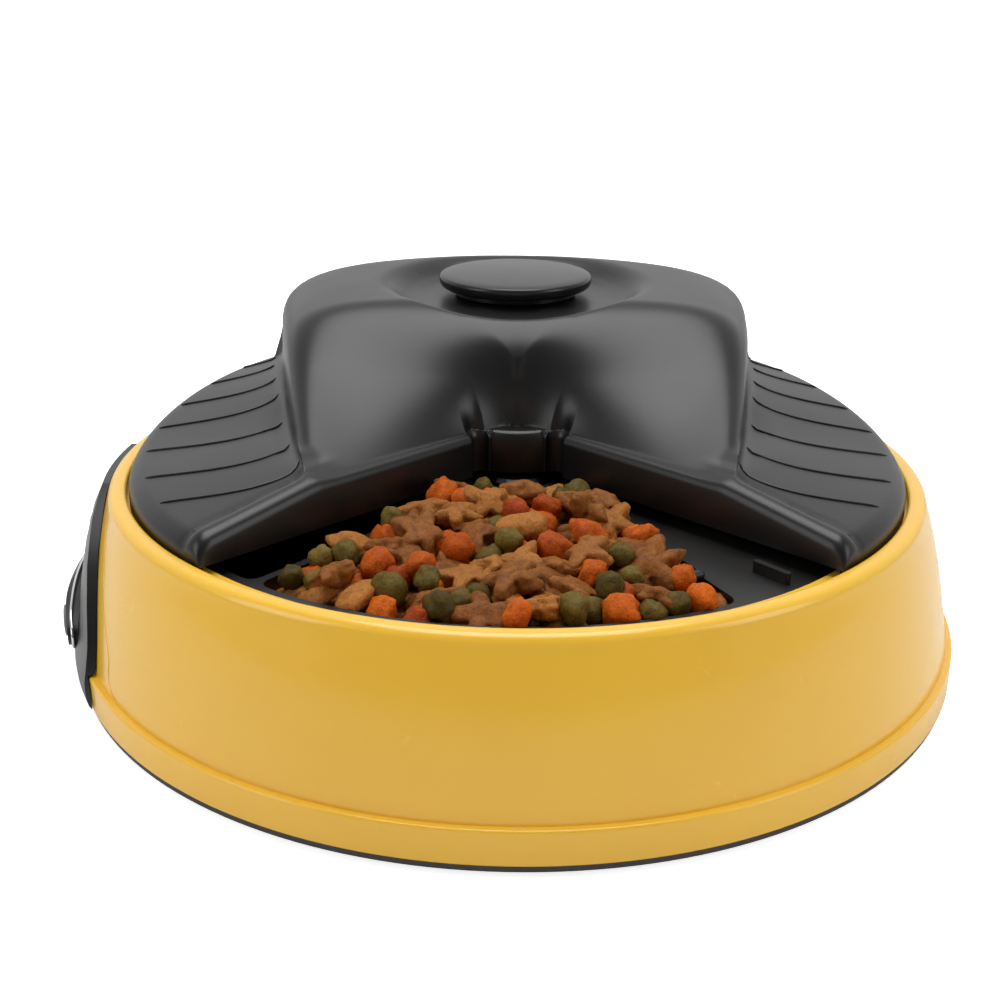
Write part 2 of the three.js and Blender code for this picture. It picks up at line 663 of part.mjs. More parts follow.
// Rack teeth that point towards -X, with a gap at the pinion's height along Y.
function lockBolt() {
  const backX = LOCK_PITCH_RADIUS + 7.5;
  const rootX = LOCK_PITCH_RADIUS + 1.2 * GEAR_MODULE;
  const tipX = LOCK_PITCH_RADIUS - 0.8 * GEAR_MODULE;
  const lean = Math.tan(radians(PRESSURE_ANGLE));
  const half = TOOTH_PITCH / 4 - BACKLASH / 2;
  const shape = new THREE.Shape();
  const first = -5;
  const last = 2;
  shape.moveTo(backX, DISH_Y + (first - 1) * TOOTH_PITCH);
  shape.lineTo(backX, 118);
  shape.lineTo(rootX, 118);
  for (let tooth = last; tooth >= first; tooth -= 1) {
    const y = DISH_Y + (tooth - 0.5) * TOOTH_PITCH;
    const atRoot = half + (rootX - LOCK_PITCH_RADIUS) * lean;
    const atTip = half - (LOCK_PITCH_RADIUS - tipX) * lean;
    shape.lineTo(rootX, y + atRoot);
    shape.lineTo(tipX, y + atTip);
    shape.lineTo(tipX, y - atTip);
    shape.lineTo(rootX, y - atRoot);
  }
  shape.lineTo(rootX, DISH_Y + (first - 1) * TOOTH_PITCH);
  shape.closePath();
  return raised(shape, ...LOCK_Z);
}

function knobCap() {
  return turned([
    [0, 120.5],
    [28, 120.5],
    [29.6, 121],
    [30, 122.1],
    [29.6, 123.1],
    [28.4, 123.6],
    [18, 124.4],
    [0, 124.7],
  ], 28);
}

function knobDisc() {
  return turned([[0, 116], [25.4, 116], [26.4, 116.7], [26.4, 120.2], [0, 120.2]], 28);
}

function lockShaft() {
  return joined(
    rod(5, 95, 115.7, [0, 0], 20),
    rod(4, LOCK_Z[0] - 1, 96, [0, 0], 20),
    raised(gearShape(LOCK_TEETH, 0), LOCK_Z[0] - 0.5, LOCK_Z[1] + 0.5),
  );
}

// A tray under the lock's gear and bolt. It hangs on two ribs from the hump's roof.
function lockGuide() {
  const floorZ = LOCK_Z[0] - 3;
  const floor = box(-13, 20.5, 24, 117, floorZ, floorZ + 1.8);
  const walls = [[17.1, 20.5], [-13, -11.2]].map(([x0, x1]) => box(x0, x1, 24, 117, floorZ, LOCK_Z[1] + 2));
  const hangers = [[-13, -9], [17.1, 20.5]].map(([x0, x1]) => box(x0, x1, 98, 102, floorZ, 109));
  const front = box(-13, 20.5, 24, 26, floorZ, LOCK_Z[1] + 4);
  const frontHangers = [[-13, -9], [16.5, 20.5]].map(([x0, x1]) => box(x0, x1, 24, 28, floorZ, 103));
  return joined(floor, ...walls, ...hangers, front, ...frontHangers);
}

// A bracket on the shell's ledge. Its window takes the bolt.
function lockStrike() {
  const x0 = LOCK_PITCH_RADIUS - 2;
  const x1 = LOCK_PITCH_RADIUS + 10;
  const profile = new THREE.Shape();
  profile.moveTo(131.8, LEDGE_Z + GAP);
  profile.lineTo(133.2, LEDGE_Z + GAP);
  profile.lineTo(133.2, 66);
  profile.lineTo(127.6, 75);
  profile.lineTo(127.6, 88.4);
  profile.lineTo(125.2, 88.4);
  profile.lineTo(125.2, 74);
  profile.lineTo(131.8, 65);
  profile.closePath();
  const bracket = raisedAlongX(profile, x0, x1);
  const window = box(x0 + 3, x1 - 1.7, 120, 132, LOCK_Z[0] - 0.6, LOCK_Z[1] + 0.6);
  return cut(bracket, window);
}

place('knob_cap', knobCap().translate([...KNOB, 0]), satinBlack);
place('knob_disc', knobDisc().translate([...KNOB, 0]), satinBlack);
place('lock_shaft', lockShaft().translate([...KNOB, 0]), acetal);
place('lock_bolt', lockBolt(), steel);
place('lock_guide', lockGuide(), satinBlack);
place('lock_strike', lockStrike(), steel);

// ---------------------------------------------------------------- control panel

// Outer radius of the panel's skin, from its foot to its top.
const PANEL_PROFILE = [
  [158, 4],
  [161.6, 6.6],
  [161.8, 12],
  [159, 24],
  [157, 36],
  [154.7, 47],
  [151.4, 58],
  [148, 65],
];

const panelOutline = (grow) => roundedRectangle(-69 - grow, 69 + grow, 4 - grow, 65 + grow, 12);

function padEllipse(grow) {
  const shape = new THREE.Shape();
  shape.absellipse(0, PAD_CENTRE_Z, 50 + grow, 11.5 + grow, 0, 2 * Math.PI);
  return shape;
}

function controlFascia() {
  const backing = [
    [145.7, 65],
    ...[...WALL_HEIGHTS].reverse().map((z) => [wallRadius(z) + 0.4, z]),
    [WALL_FOOT_RADIUS + 0.4, WALL_FOOT_Z + GAP],
    [SHELL_RADIUS + GAP, BAND_TOP_Z + 0.6],
    [SHELL_RADIUS + GAP, 4.2],
  ];
  const skin = turned([...PANEL_PROFILE.slice(1), ...backing])
    .intersect(raisedAlongX(panelOutline(0), -175, -120));
  const padProfile = [
    [160.8, 5],
    [PAD_RADIUS - 1, 5],
    [PAD_RADIUS, 9],
    [PAD_RADIUS, 27],
    [PAD_RADIUS - 1, 31],
    [158.2, 31],
    [158.2, 16.6],
    [160.8, 15.4],
  ];
  const pad = turned(padProfile).intersect(raisedAlongX(padEllipse(0), -175, -120));
  const trimGroove = turned([[161, 4], [170, 4], [170, 32], [161, 32]])
    .intersect(cut(raisedAlongX(padEllipse(1.9), -175, -120), raisedAlongX(padEllipse(0), -175, -120)));
  const windowHole = raisedAlongX(roundedRectangle(-26, 26, 35, 53, 3), -175, -120);
  const holeRadius = BUTTON_RADIUS + 0.4;
  const holes = buttonAzimuths().map((azimuth) => radialRod(holeRadius, 150, 170, azimuth, PAD_CENTRE_Z, 16));
  const soundHole = radialRod(1, 140, 170, MICROPHONE_AZIMUTH, MICROPHONE_Z, 8);
  return cut(joined(skin, pad), trimGroove, windowHole, ...holes, soundHole);
}

// A cylinder whose axis points away from the Z axis at an azimuth.
function radialRod(radius, r0, r1, azimuth, z, facets = SMALL_ROUND) {
  const geometry = new THREE.CylinderGeometry(radius, radius, r1 - r0, facets);
  geometry.translate(0, -(r0 + r1) / 2, 0);
  geometry.rotateZ(radians(azimuth));
  geometry.translate(0, 0, z);
  return solid(geometry);
}

function buttonAzimuths() {
  const middle = (BUTTON_COUNT - 1) / 2;
  return Array.from({ length: BUTTON_COUNT }, (_, i) => PANEL_AZIMUTH + (i - middle) * BUTTON_PITCH);
}

place('control_fascia', controlFascia(), satinBlack);

const trim = turned([[161.9, 4], [PAD_RADIUS + 0.2, 4], [PAD_RADIUS + 0.2, 32], [161.9, 32]])
  .intersect(cut(raisedAlongX(padEllipse(1.6), -175, -120), raisedAlongX(padEllipse(0.3), -175, -120)));
place('pad_trim_ring', trim, chrome);

const lens = turned([[155.2, 34], [157.1, 34], [153, 54], [151.1, 54]])
  .intersect(raisedAlongX(roundedRectangle(-25.7, 25.7, 35.3, 52.7, 2.7), -175, -120));
place('display_window', lens, windowTint);
place('display_module', box(-147.9, -145.6, -25, 25, 36, 52), liquidCrystal);
place('control_board', box(-143.4, -141.8, -36, 36, 10, 50), boardGreen);

const mat = turned([[149.4, 11], [152, 11], [152, 25], [149.4, 25]])
  .intersect(box(-160, -120, -37, 37, 0, 40));
place('button_mat', mat, rubber);

buttonAzimuths().forEach((azimuth, i) => {
  const button = joined(
    radialRod(BUTTON_RADIUS, 155.4, PAD_RADIUS + 1.2, azimuth, PAD_CENTRE_Z),
    radialRod(3, 153.5, 156, azimuth, PAD_CENTRE_Z, 12),
  );
  place(`panel_button_${i + 1}`, button, buttonGrey);
});

place('microphone', radialRod(3, 147.4, 150.8, MICROPHONE_AZIMUTH, MICROPHONE_Z), steel);

// ---------------------------------------------------------------- speaker and batteries

const speaker = joined(
  rod(20, BASE_THICKNESS + GAP, 6.5, [SPEAKER_X, 0]),
  rod(15, 6, 9.5, [SPEAKER_X, 0]),
  rod(9, 9, 14.5, [SPEAKER_X, 0]),
);
place('speaker', speaker, satinBlack);

const batteryBox = cut(
  box(59, 119, -56, 56, BASE_THICKNESS + GAP, 32.6),
  box(61, 117, -54, 54, 0, 31.2),
);
place('battery_box', batteryBox, baseGrey);

CELL_COLUMNS.forEach((x, column) => {
  [-1, 1].forEach((side, row) => {
    const y0 = side < 0 ? -CELL_LENGTH - 1 : 1;
    const body = [[0, 0], [12, 0], [CELL_RADIUS, 0.8], [CELL_RADIUS, 47.4], [12.2, 48.2]];
    const button = [[3.4, 48.2], [3.4, CELL_LENGTH], [0, CELL_LENGTH]];
    const profile = [...body, ...button].map(([r, y]) => new THREE.Vector2(r, y));
    const geometry = new THREE.LatheGeometry(profile, SMALL_ROUND);
    geometry.translate(x, y0, CELL_Z);
    place(`battery_cell_${2 * column + row + 1}`, solid(geometry), cellJacket);
  });
});

place('battery_contact_bridge', box(66, 112, 52, 52.8, 9, 26), steel);
place('battery_contact_positive', box(68, 82, -52.8, -52, 9, 26), steel);
place('battery_contact_negative', box(96, 110, -52.8, -52, 9, 26), steel);

const thumbGrooves = [44, 47, 50].map((y) => box(79, 99, y, y + 1.2, 0, 0.8));
place('battery_door', cut(box(59.4, 118.6, -56, 56, 0.3, 1.9), ...thumbGrooves), baseGrey);

export default feeder;
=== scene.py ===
# %% [markdown]
# # An automatic pet feeder, piece by piece
# The mechanism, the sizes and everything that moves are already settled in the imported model. This
# lesson loads that model as a fixed frame and makes the outside pieces again as fine surfaces: the
# glossy yellow ring, the satin black lid, the carousel tray, the control panel, and a meal in the tray.
# Every length is in metres, and MM turns a millimetre into that unit.

# %% Load the frame
import json
import math
import random

import bpy
from mathutils import Matrix, Vector, noise


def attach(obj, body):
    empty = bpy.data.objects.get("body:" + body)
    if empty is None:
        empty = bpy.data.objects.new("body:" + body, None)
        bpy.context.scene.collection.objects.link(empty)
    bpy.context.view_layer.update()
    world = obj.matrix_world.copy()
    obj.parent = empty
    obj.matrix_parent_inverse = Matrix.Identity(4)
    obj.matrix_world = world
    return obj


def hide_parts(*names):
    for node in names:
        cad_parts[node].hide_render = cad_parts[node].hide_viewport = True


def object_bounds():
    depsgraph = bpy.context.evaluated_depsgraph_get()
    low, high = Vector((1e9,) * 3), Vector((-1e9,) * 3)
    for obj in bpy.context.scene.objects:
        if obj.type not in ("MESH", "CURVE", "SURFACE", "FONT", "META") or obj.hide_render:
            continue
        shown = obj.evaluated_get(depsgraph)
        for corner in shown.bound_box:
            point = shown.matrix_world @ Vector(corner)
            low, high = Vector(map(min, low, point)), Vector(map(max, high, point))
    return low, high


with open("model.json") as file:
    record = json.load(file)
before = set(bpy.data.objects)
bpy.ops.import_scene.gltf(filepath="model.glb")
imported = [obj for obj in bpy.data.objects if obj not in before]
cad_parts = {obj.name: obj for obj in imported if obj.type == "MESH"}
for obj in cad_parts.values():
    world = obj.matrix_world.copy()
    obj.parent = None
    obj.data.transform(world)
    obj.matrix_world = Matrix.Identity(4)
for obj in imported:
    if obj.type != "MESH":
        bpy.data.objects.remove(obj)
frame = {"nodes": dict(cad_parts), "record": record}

CAD_BOX = [list(corner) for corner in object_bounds()]
MM = 0.001
NODES = frame["nodes"]
print("nodes in the frame:", len(NODES))

# %% [markdown]
# ## A few helpers
# Operators act on whatever is selected, and the frame's nodes arrive selected. So each piece starts
# with nothing selected, and `edit` opens one object alone in edit mode. An azimuth is counted in
# degrees from the front, -Y, towards +X, as the frame counts it.


# %% Selection and places
def deselect():
    if bpy.context.mode != "OBJECT":
        bpy.ops.object.mode_set(mode="OBJECT")
    bpy.ops.object.select_all(action="DESELECT")


def pick(piece):
    """Makes one piece the only one selected, and the active one."""
    deselect()
    piece.select_set(True)
    bpy.context.view_layer.objects.active = piece


def edit(piece):
    pick(piece)
    bpy.ops.object.mode_set(mode="EDIT")
    bpy.ops.mesh.select_all(action="SELECT")


def polar(radius, azimuth):
    turn = math.radians(azimuth)
    return radius * math.sin(turn), -radius * math.cos(turn)


def clamp(value):
    return min(1.0, max(0.0, value))


def smooth(value):
    value = clamp(value)
    return value * value * (3 - 2 * value)


def apply_modifier(piece, kind, **settings):
    """Adds a modifier with these settings and applies it."""
    pick(piece)
    modifier = piece.modifiers.new(kind.title(), kind)
    for name, value in settings.items():
        setattr(modifier, name, value)
    bpy.ops.object.modifier_apply(modifier=modifier.name)


def tidy_normals(piece, merge=0.01 * MM):
    edit(piece)
    bpy.ops.mesh.remove_doubles(threshold=merge)
    bpy.ops.mesh.normals_make_consistent(inside=False)
    bpy.ops.object.mode_set(mode="OBJECT")


def smooth_shade(piece, degrees=32):
    pick(piece)
    bpy.ops.object.shade_smooth_by_angle(angle=math.radians(degrees))


def mesh_piece(name, points, faces):
    """A new object from points in metres and faces given as point numbers."""
    mesh = bpy.data.meshes.new(name)
    mesh.from_pydata(points, [], faces)
    mesh.update()
    piece = bpy.data.objects.new(name, mesh)
    bpy.context.scene.collection.objects.link(piece)
    return piece


def place_block(name, size, centre, rounding, steps, along=None, turn=0.0):
    """A block, in millimetres, with every edge rounded, or only those along one axis (0, 1 or 2)."""
    deselect()
    bpy.ops.mesh.primitive_cube_add(size=1, location=Vector(centre) * MM, scale=Vector(size) * MM,
                                    rotation=(0, 0, math.radians(turn)))
    piece = bpy.context.active_object
    piece.name = name
    bpy.ops.object.transform_apply(location=True, rotation=True, scale=True)
    edit(piece)
    bpy.ops.mesh.select_mode(type="EDGE")
    if along is not None:
        bpy.ops.mesh.select_all(action="DESELECT")
        bpy.ops.object.mode_set(mode="OBJECT")
        for edge in piece.data.edges:
            first, last = (piece.data.vertices[i].co for i in edge.vertices)
            edge.select = abs(first[along] - last[along]) > 0.5 * size[along] * MM
        bpy.ops.object.mode_set(mode="EDIT")
    bpy.ops.mesh.bevel(offset=rounding * MM, segments=steps, affect="EDGES")
    bpy.ops.mesh.select_mode(type="VERT")
    bpy.ops.object.mode_set(mode="OBJECT")
    return piece


def tube(name, route, radius, thin_ends=0.35):
    """A round wire along places in metres, with its radius in millimetres."""
    curve = bpy.data.curves.new(name, "CURVE")
    curve.dimensions = "3D"
    curve.bevel_depth = radius * MM
    curve.bevel_resolution = 2
    curve.use_fill_caps = True
    line = curve.splines.new("POLY")
    line.points.add(len(route) - 1)
    for point, place in zip(line.points, route):
        point.co = (*place, 1)
    for end in (line.points[0], line.points[-1]):
        end.radius = thin_ends
    piece = bpy.data.objects.new(name, curve)
    bpy.context.scene.collection.objects.link(piece)
    pick(piece)
    bpy.ops.object.convert(target="MESH")
    return bpy.context.active_object


def join(pieces, name):
    deselect()
    for piece in pieces:
        piece.select_set(True)
    bpy.context.view_layer.objects.active = pieces[0]
    bpy.ops.object.join()
    whole = bpy.context.view_layer.objects.active
    whole.name = name
    return whole


def hand_over(piece, material, body, slot, *nodes):
    """Gives a finished piece its material and body, and says which nodes it stands for. The slot is not
    used.
    """
    piece.data.materials.clear()
    piece.data.materials.append(material)
    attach(piece, body)
    if nodes:
        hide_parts(*nodes)
    print(piece.name, len(piece.data.polygons), "faces")


# %% [markdown]
# ## The camera
# It stands about half a metre in front of the feeder, a little above it and a touch to the left, and
# looks down by 21 degrees, as someone would who crouches by the bowl. The slight roll is the camera's.

# %% Camera
CAMERA_PLACE = Vector((-11.0, -486.8, 237.8)) * MM
CAMERA_AIM = Vector((0.0097, 0.9334, -0.3581))
CAMERA_ROLL = math.radians(0.51)
CAMERA_LENS = 50.4
CAMERA_SENSOR = 36.0


def make_camera():
    data = bpy.data.cameras.new("camera")
    data.lens = CAMERA_LENS
    data.sensor_width = CAMERA_SENSOR
    data.clip_start = 0.01
    camera = bpy.data.objects.new("camera", data)
    bpy.context.scene.collection.objects.link(camera)
    turn = CAMERA_AIM.to_track_quat("-Z", "Y").to_matrix() @ Matrix.Rotation(CAMERA_ROLL, 3, "Z")
    camera.matrix_world = Matrix.Translation(CAMERA_PLACE) @ turn.to_4x4()
    bpy.context.scene.camera = camera


make_camera()

# %% [markdown]
# ## Surface effects
# Moulded plastic is never a flat colour. It has a very fine texture from the tool, a roughness that
# drifts a little where hands have polished it, and a faint dust on the faces that look upwards. These
# three effects are node groups, built once, so that each plastic only sets how much of each it has.


# %% Node group helpers
def new_group(name, inputs, outputs):
    """A shader node group with named float inputs and float or colour outputs."""
    group = bpy.data.node_groups.new(name, "ShaderNodeTree")
    for label, default in inputs:
        socket = group.interface.new_socket(label, in_out="INPUT", socket_type="NodeSocketFloat")
        socket.default_value = default
    for label, kind in outputs:
        group.interface.new_socket(label, in_out="OUTPUT", socket_type=kind)
    nodes = group.nodes
    return group, nodes, nodes.new("NodeGroupInput"), nodes.new("NodeGroupOutput")


def math_node(nodes, links, operation, first, second=None, third=None):
    node = nodes.new("ShaderNodeMath")
    node.operation = operation
    for socket, value in zip(node.inputs, (first, second, third)):
        if value is None:
            continue
        if isinstance(value, (int, float)):
            socket.default_value = value
        else:
            links.new(value, socket)
    return node.outputs[0]


def noise_node(nodes, links, vector, scale, detail=3.0):
    node = nodes.new("ShaderNodeTexNoise")
    node.inputs["Detail"].default_value = detail
    links.new(vector, node.inputs["Vector"])
    if isinstance(scale, (int, float)):
        node.inputs["Scale"].default_value = scale
    else:
        links.new(scale, node.inputs["Scale"])
    return node.outputs["Fac"]


def mix_colour(nodes, links, amount, first, second):
    """A blend of two colours, each a socket or a fixed colour."""
    node = nodes.new("ShaderNodeMix")
    node.data_type = "RGBA"
    links.new(amount, node.inputs["Factor"])
    for socket, colour in ((node.inputs[6], first), (node.inputs[7], second)):
        if isinstance(colour, tuple):
            socket.default_value = colour
        else:
            links.new(colour, socket)
    return node.outputs[2]


def relief_node(nodes, links, height, distance, strength):
    """Turns a height into the shader's normal. The distance is in metres."""
    bump = nodes.new("ShaderNodeBump")
    bump.inputs["Distance"].default_value = distance
    bump.inputs["Strength"].default_value = strength
    links.new(height, bump.inputs["Height"])
    links.new(bump.outputs["Normal"], nodes["Principled BSDF"].inputs["Normal"])


def new_material(name):
    material = bpy.data.materials.new(name)
    material.use_nodes = True
    nodes = material.node_tree.nodes
    return material, nodes, material.node_tree.links, nodes["Principled BSDF"]


# %% Moulded texture
def moulded_texture():
    """Height of a moulded surface: fine spark grain over a slow waviness from shrinkage."""
    group, nodes, given, out = new_group(
        "moulded_texture",
        [("Grain size", 0.4), ("Grain", 0.5), ("Waviness", 0.5)],
        [("Height", "NodeSocketFloat")],
    )
    links = group.links
    place = nodes.new("ShaderNodeTexCoord").outputs["Object"]
    per_metre = math_node(nodes, links, "DIVIDE", 1000.0, given.outputs["Grain size"])
    grain = noise_node(nodes, links, place, per_metre, 2.0)
    wave = noise_node(nodes, links, place, 28.0, 1.0)
    fine = math_node(nodes, links, "MULTIPLY", grain, given.outputs["Grain"])
    slow = math_node(nodes, links, "MULTIPLY", wave, given.outputs["Waviness"])
    links.new(math_node(nodes, links, "ADD", fine, slow), out.inputs["Height"])
    return group


# %% Handling marks
def handling_marks():
    """A roughness that drifts between polished and dull patches, with a few fine wipe marks."""
    group, nodes, given, out = new_group(
        "handling_marks",
        [("Roughness", 0.4), ("Drift", 0.08), ("Wipes", 0.04)],
        [("Roughness", "NodeSocketFloat")],
    )
    links = group.links
    place = nodes.new("ShaderNodeTexCoord").outputs["Object"]
    patches = noise_node(nodes, links, place, 34.0, 4.0)
    stretch = nodes.new("ShaderNodeMapping")
    stretch.inputs["Rotation"].default_value = (0.2, 0.4, 0.7)
    stretch.inputs["Scale"].default_value = (40.0, 900.0, 260.0)
    links.new(place, stretch.inputs["Vector"])
    wipes = noise_node(nodes, links, stretch.outputs["Vector"], 1.0, 2.0)
    centred = math_node(nodes, links, "SUBTRACT", patches, 0.5)
    drift = math_node(nodes, links, "MULTIPLY", centred, given.outputs["Drift"])
    thin = math_node(nodes, links, "GREATER_THAN", wipes, 0.66)
    marks = math_node(nodes, links, "MULTIPLY", thin, given.outputs["Wipes"])
    total = math_node(nodes, links, "ADD", given.outputs["Roughness"], drift)
    total = math_node(nodes, links, "ADD", total, marks)
    links.new(math_node(nodes, links, "MAXIMUM", total, 0.02), out.inputs["Roughness"])
    return group


# %% Dust
def settled_dust():
    """A mask of dust specks and a thin film, only where the surface looks up."""
    group, nodes, given, out = new_group(
        "settled_dust", [("Film", 0.03), ("Specks", 0.3)], [("Mask", "NodeSocketFloat")]
    )
    links = group.links
    place = nodes.new("ShaderNodeTexCoord").outputs["Object"]
    split = nodes.new("ShaderNodeSeparateXYZ")
    links.new(nodes.new("ShaderNodeNewGeometry").outputs["Normal"], split.inputs[0])
    upward = math_node(nodes, links, "MAXIMUM", split.outputs["Z"], 0.0)
    upward = math_node(nodes, links, "POWER", upward, 2.0)
    film = math_node(nodes, links, "MULTIPLY", noise_node(nodes, links, place, 60.0), given.outputs["Film"])
    fine = noise_node(nodes, links, place, 2600.0, 1.0)
    speck = math_node(nodes, links, "GREATER_THAN", fine, 0.79)
    specks = math_node(nodes, links, "MULTIPLY", speck, given.outputs["Specks"])
    total = math_node(nodes, links, "ADD", film, specks)
    links.new(math_node(nodes, links, "MULTIPLY", total, upward), out.inputs["Mask"])
    return group


TEXTURE = moulded_texture()
MARKS = handling_marks()
DUST = settled_dust()
DUST_COLOUR = (0.42, 0.40, 0.37, 1.0)
print("shared effects:", TEXTURE.name, MARKS.name, DUST.name)


# %% [markdown]
# ## Plastics, metals and glass
# One function builds every plain finish, from a colour, a roughness and the amounts of the three
# effects. The colour itself drifts a little in depth, because pigment never spreads evenly.


# %% Finish builder
def srgb(red, green, blue):
    """A colour given as 0-255 screen values, in the linear light that shaders use."""
    linear = [((v / 255 + 0.055) / 1.055) ** 2.4 if v > 10 else v / 255 / 12.92 for v in (red, green, blue)]
    return (*linear, 1.0)


def placed(nodes, group, **values):
    node = nodes.new("ShaderNodeGroup")
    node.node_tree = group
    for label, value in values.items():
        node.inputs[label.replace("_", " ")].default_value = value
    return node


def finish(name, colour, roughness, grain=0.5, grain_size=0.4, wave=0.3, depth=0.02 * MM,
           dust=0.02, specks=0.1, drift=0.06, wipes=0.03, metallic=0.0, coat=0.0, tint=0.06):
    material, nodes, links, shader = new_material(name)
    shader.inputs["Metallic"].default_value = metallic
    shader.inputs["Coat Weight"].default_value = coat
    shader.inputs["Coat Roughness"].default_value = 0.06
    place = nodes.new("ShaderNodeTexCoord").outputs["Object"]
    drifting = noise_node(nodes, links, place, 18.0, 3.0)
    deeper = (*[c * (1 - tint) for c in colour[:3]], 1)
    paler = (*[min(1, c * (1 + tint)) for c in colour[:3]], 1)
    pigment = mix_colour(nodes, links, drifting, deeper, paler)
    mask = placed(nodes, DUST, Film=dust, Specks=specks)
    dusty = mix_colour(nodes, links, mask.outputs["Mask"], pigment, DUST_COLOUR)
    links.new(dusty, shader.inputs["Base Color"])
    marks = placed(nodes, MARKS, Roughness=roughness, Drift=drift, Wipes=wipes)
    links.new(marks.outputs["Roughness"], shader.inputs["Roughness"])
    relief = placed(nodes, TEXTURE, Grain_size=grain_size, Grain=grain, Waviness=wave)
    relief_node(nodes, links, relief.outputs["Height"], depth, 1.0)
    return material


# %% The finishes
YELLOW = finish("glossy_yellow", srgb(252, 196, 58), 0.26, grain=0.03, wave=0.1, coat=0.3, dust=0.01,
                specks=0.0, wipes=0.006)
LID_BLACK = finish("satin_black", srgb(14, 13, 13), 0.34, grain=0.4, grain_size=0.3, wave=0.2)
KNOB_BLACK = finish("knob_black", srgb(14, 13, 14), 0.3, grain=0.3, grain_size=0.3)
TRAY_BLACK = finish("tray_black", srgb(13, 12, 12), 0.4, grain=0.7, grain_size=0.5, dust=0.05, specks=0.3)
BASE_GREY = finish("base_grey", srgb(58, 56, 57), 0.55, grain=1.0, grain_size=0.7)
RUBBER = finish("foot_rubber", srgb(22, 22, 22), 0.85, grain=1.2, grain_size=0.6)
ACETAL = finish("natural_acetal", srgb(226, 222, 208), 0.42, grain=0.3)
STEEL = finish("bright_steel", srgb(170, 172, 175), 0.3, metallic=1.0, grain=0.6, wipes=0.12)
CHROME = finish("polished_chrome", srgb(222, 224, 226), 0.08, metallic=1.0, grain=0.02, drift=0.03)
ELECTRONICS = finish("sensor_black", srgb(18, 18, 20), 0.5)
BUTTON_GREY = finish("button_grey", srgb(138, 140, 143), 0.5, grain=0.6, grain_size=0.3)
WINDOW = finish("tinted_window", srgb(12, 18, 20), 0.06, grain=0.02, coat=1.0, dust=0.0, specks=0.0)
CRYSTAL = finish("liquid_crystal", srgb(140, 150, 134), 0.25, grain=0.2)
BOARD = finish("board_green", srgb(26, 84, 50), 0.45, grain=0.8)
JACKET = finish("cell_jacket", srgb(44, 78, 136), 0.35, grain=0.2, coat=0.3)

SLOT_FINISHES = {
    "yellow_shell": YELLOW, "lid_black": LID_BLACK, "tray_black": TRAY_BLACK, "base_grey": BASE_GREY,
    "rubber": RUBBER, "acetal": ACETAL, "steel": STEEL, "electronics_black": ELECTRONICS,
    "button_grey": BUTTON_GREY, "window_tint": WINDOW, "liquid_crystal": CRYSTAL, "board_green": BOARD,
    "cell_jacket": JACKET, "chrome": CHROME,
}

# %% [markdown]
# The pieces of the frame that stay as they are get their finish from the record: each one names its
# slot there, and the table above says which of these materials that slot is.

# %% Finish the frame's own pieces
record = frame["record"]
for part in record["subparts"]:
    node = NODES.get(part.get("node", part.get("name")))
    if node is not None:
        node.data.materials.clear()
        node.data.materials.append(SLOT_FINISHES[part["material_slot"]])
print("frame pieces finished:", len(record["subparts"]))

# %% [markdown]
# ## Turned pieces
# The ring, the base, the knob and the panel are all turned shapes. Each starts as a plane whose four
# corners are merged into one point. That point is extruded along the piece's section, and the section
# is spun about the Z axis. The rounded corners come from arcs in the section itself.


# %% A section, spun
def spun(name, section, start=0.0, sweep=360.0, steps=128):
    """A solid turned from a closed section of (radius, z) pairs in millimetres."""
    deselect()
    place = Vector((*polar(section[0][0] * MM, start), section[0][1] * MM))
    bpy.ops.mesh.primitive_plane_add(size=MM, location=place)
    piece = bpy.context.active_object
    piece.name = name
    bpy.ops.object.transform_apply(location=True)
    edit(piece)
    bpy.ops.mesh.merge(type="CENTER")
    closed = section[0][0] > 0
    route = [*section[1:], section[0]] if closed else section[1:]
    here = place
    for radius, z in route:
        there = Vector((*polar(radius * MM, start), z * MM))
        bpy.ops.mesh.extrude_region_move(TRANSFORM_OT_translate={"value": there - here})
        here = there
    bpy.ops.mesh.select_all(action="SELECT")
    bpy.ops.mesh.remove_doubles(threshold=0.001 * MM)
    bpy.ops.mesh.select_all(action="SELECT")
    bpy.ops.mesh.spin(steps=steps, angle=-math.radians(sweep), center=(0, 0, 0), axis=(0, 0, 1))
    bpy.ops.mesh.select_all(action="SELECT")
    bpy.ops.mesh.remove_doubles(threshold=0.01 * MM)
    if sweep < 360:
        bpy.ops.mesh.fill_holes(sides=0)
        bpy.ops.mesh.select_all(action="SELECT")
    bpy.ops.mesh.normals_make_consistent(inside=False)
    bpy.ops.object.mode_set(mode="OBJECT")
    return piece


def arc(centre, radius, first, last, steps=6):
    """Points of a round stretch of a section, from one angle to another in degrees."""
    points = []
    for i in range(steps + 1):
        angle = math.radians(first + (last - first) * i / steps)
        points.append((centre[0] + radius * math.cos(angle), centre[1] + radius * math.sin(angle)))
    return points


# %% [markdown]
# ## The yellow ring
# This is the part that you see first: a tapered wall that leans in towards the top, a rounded rim, and
# a plain band round the foot with a fine step above it. The wall's curve is one formula. Inside the
# rim, a ledge carries the lid.

# %% Section of the ring
SHELL_RADIUS = 160.0
BAND_TOP_Z = 14.6
WALL_FOOT_RADIUS = 157.6
WALL_FOOT_Z = 15.7
CREST_Z = 67.2
SHELL_WALL = 2.6
REBATE_RADIUS = 139.5
LEDGE_Z = 62.6
LEDGE_RADIUS = 132.5
RIM_ROUNDING = 3.6


def wall_radius(z):
    rise = (z - WALL_FOOT_Z) / (CREST_Z - WALL_FOOT_Z)
    return WALL_FOOT_RADIUS - 9 * rise - 4 * rise ** 3


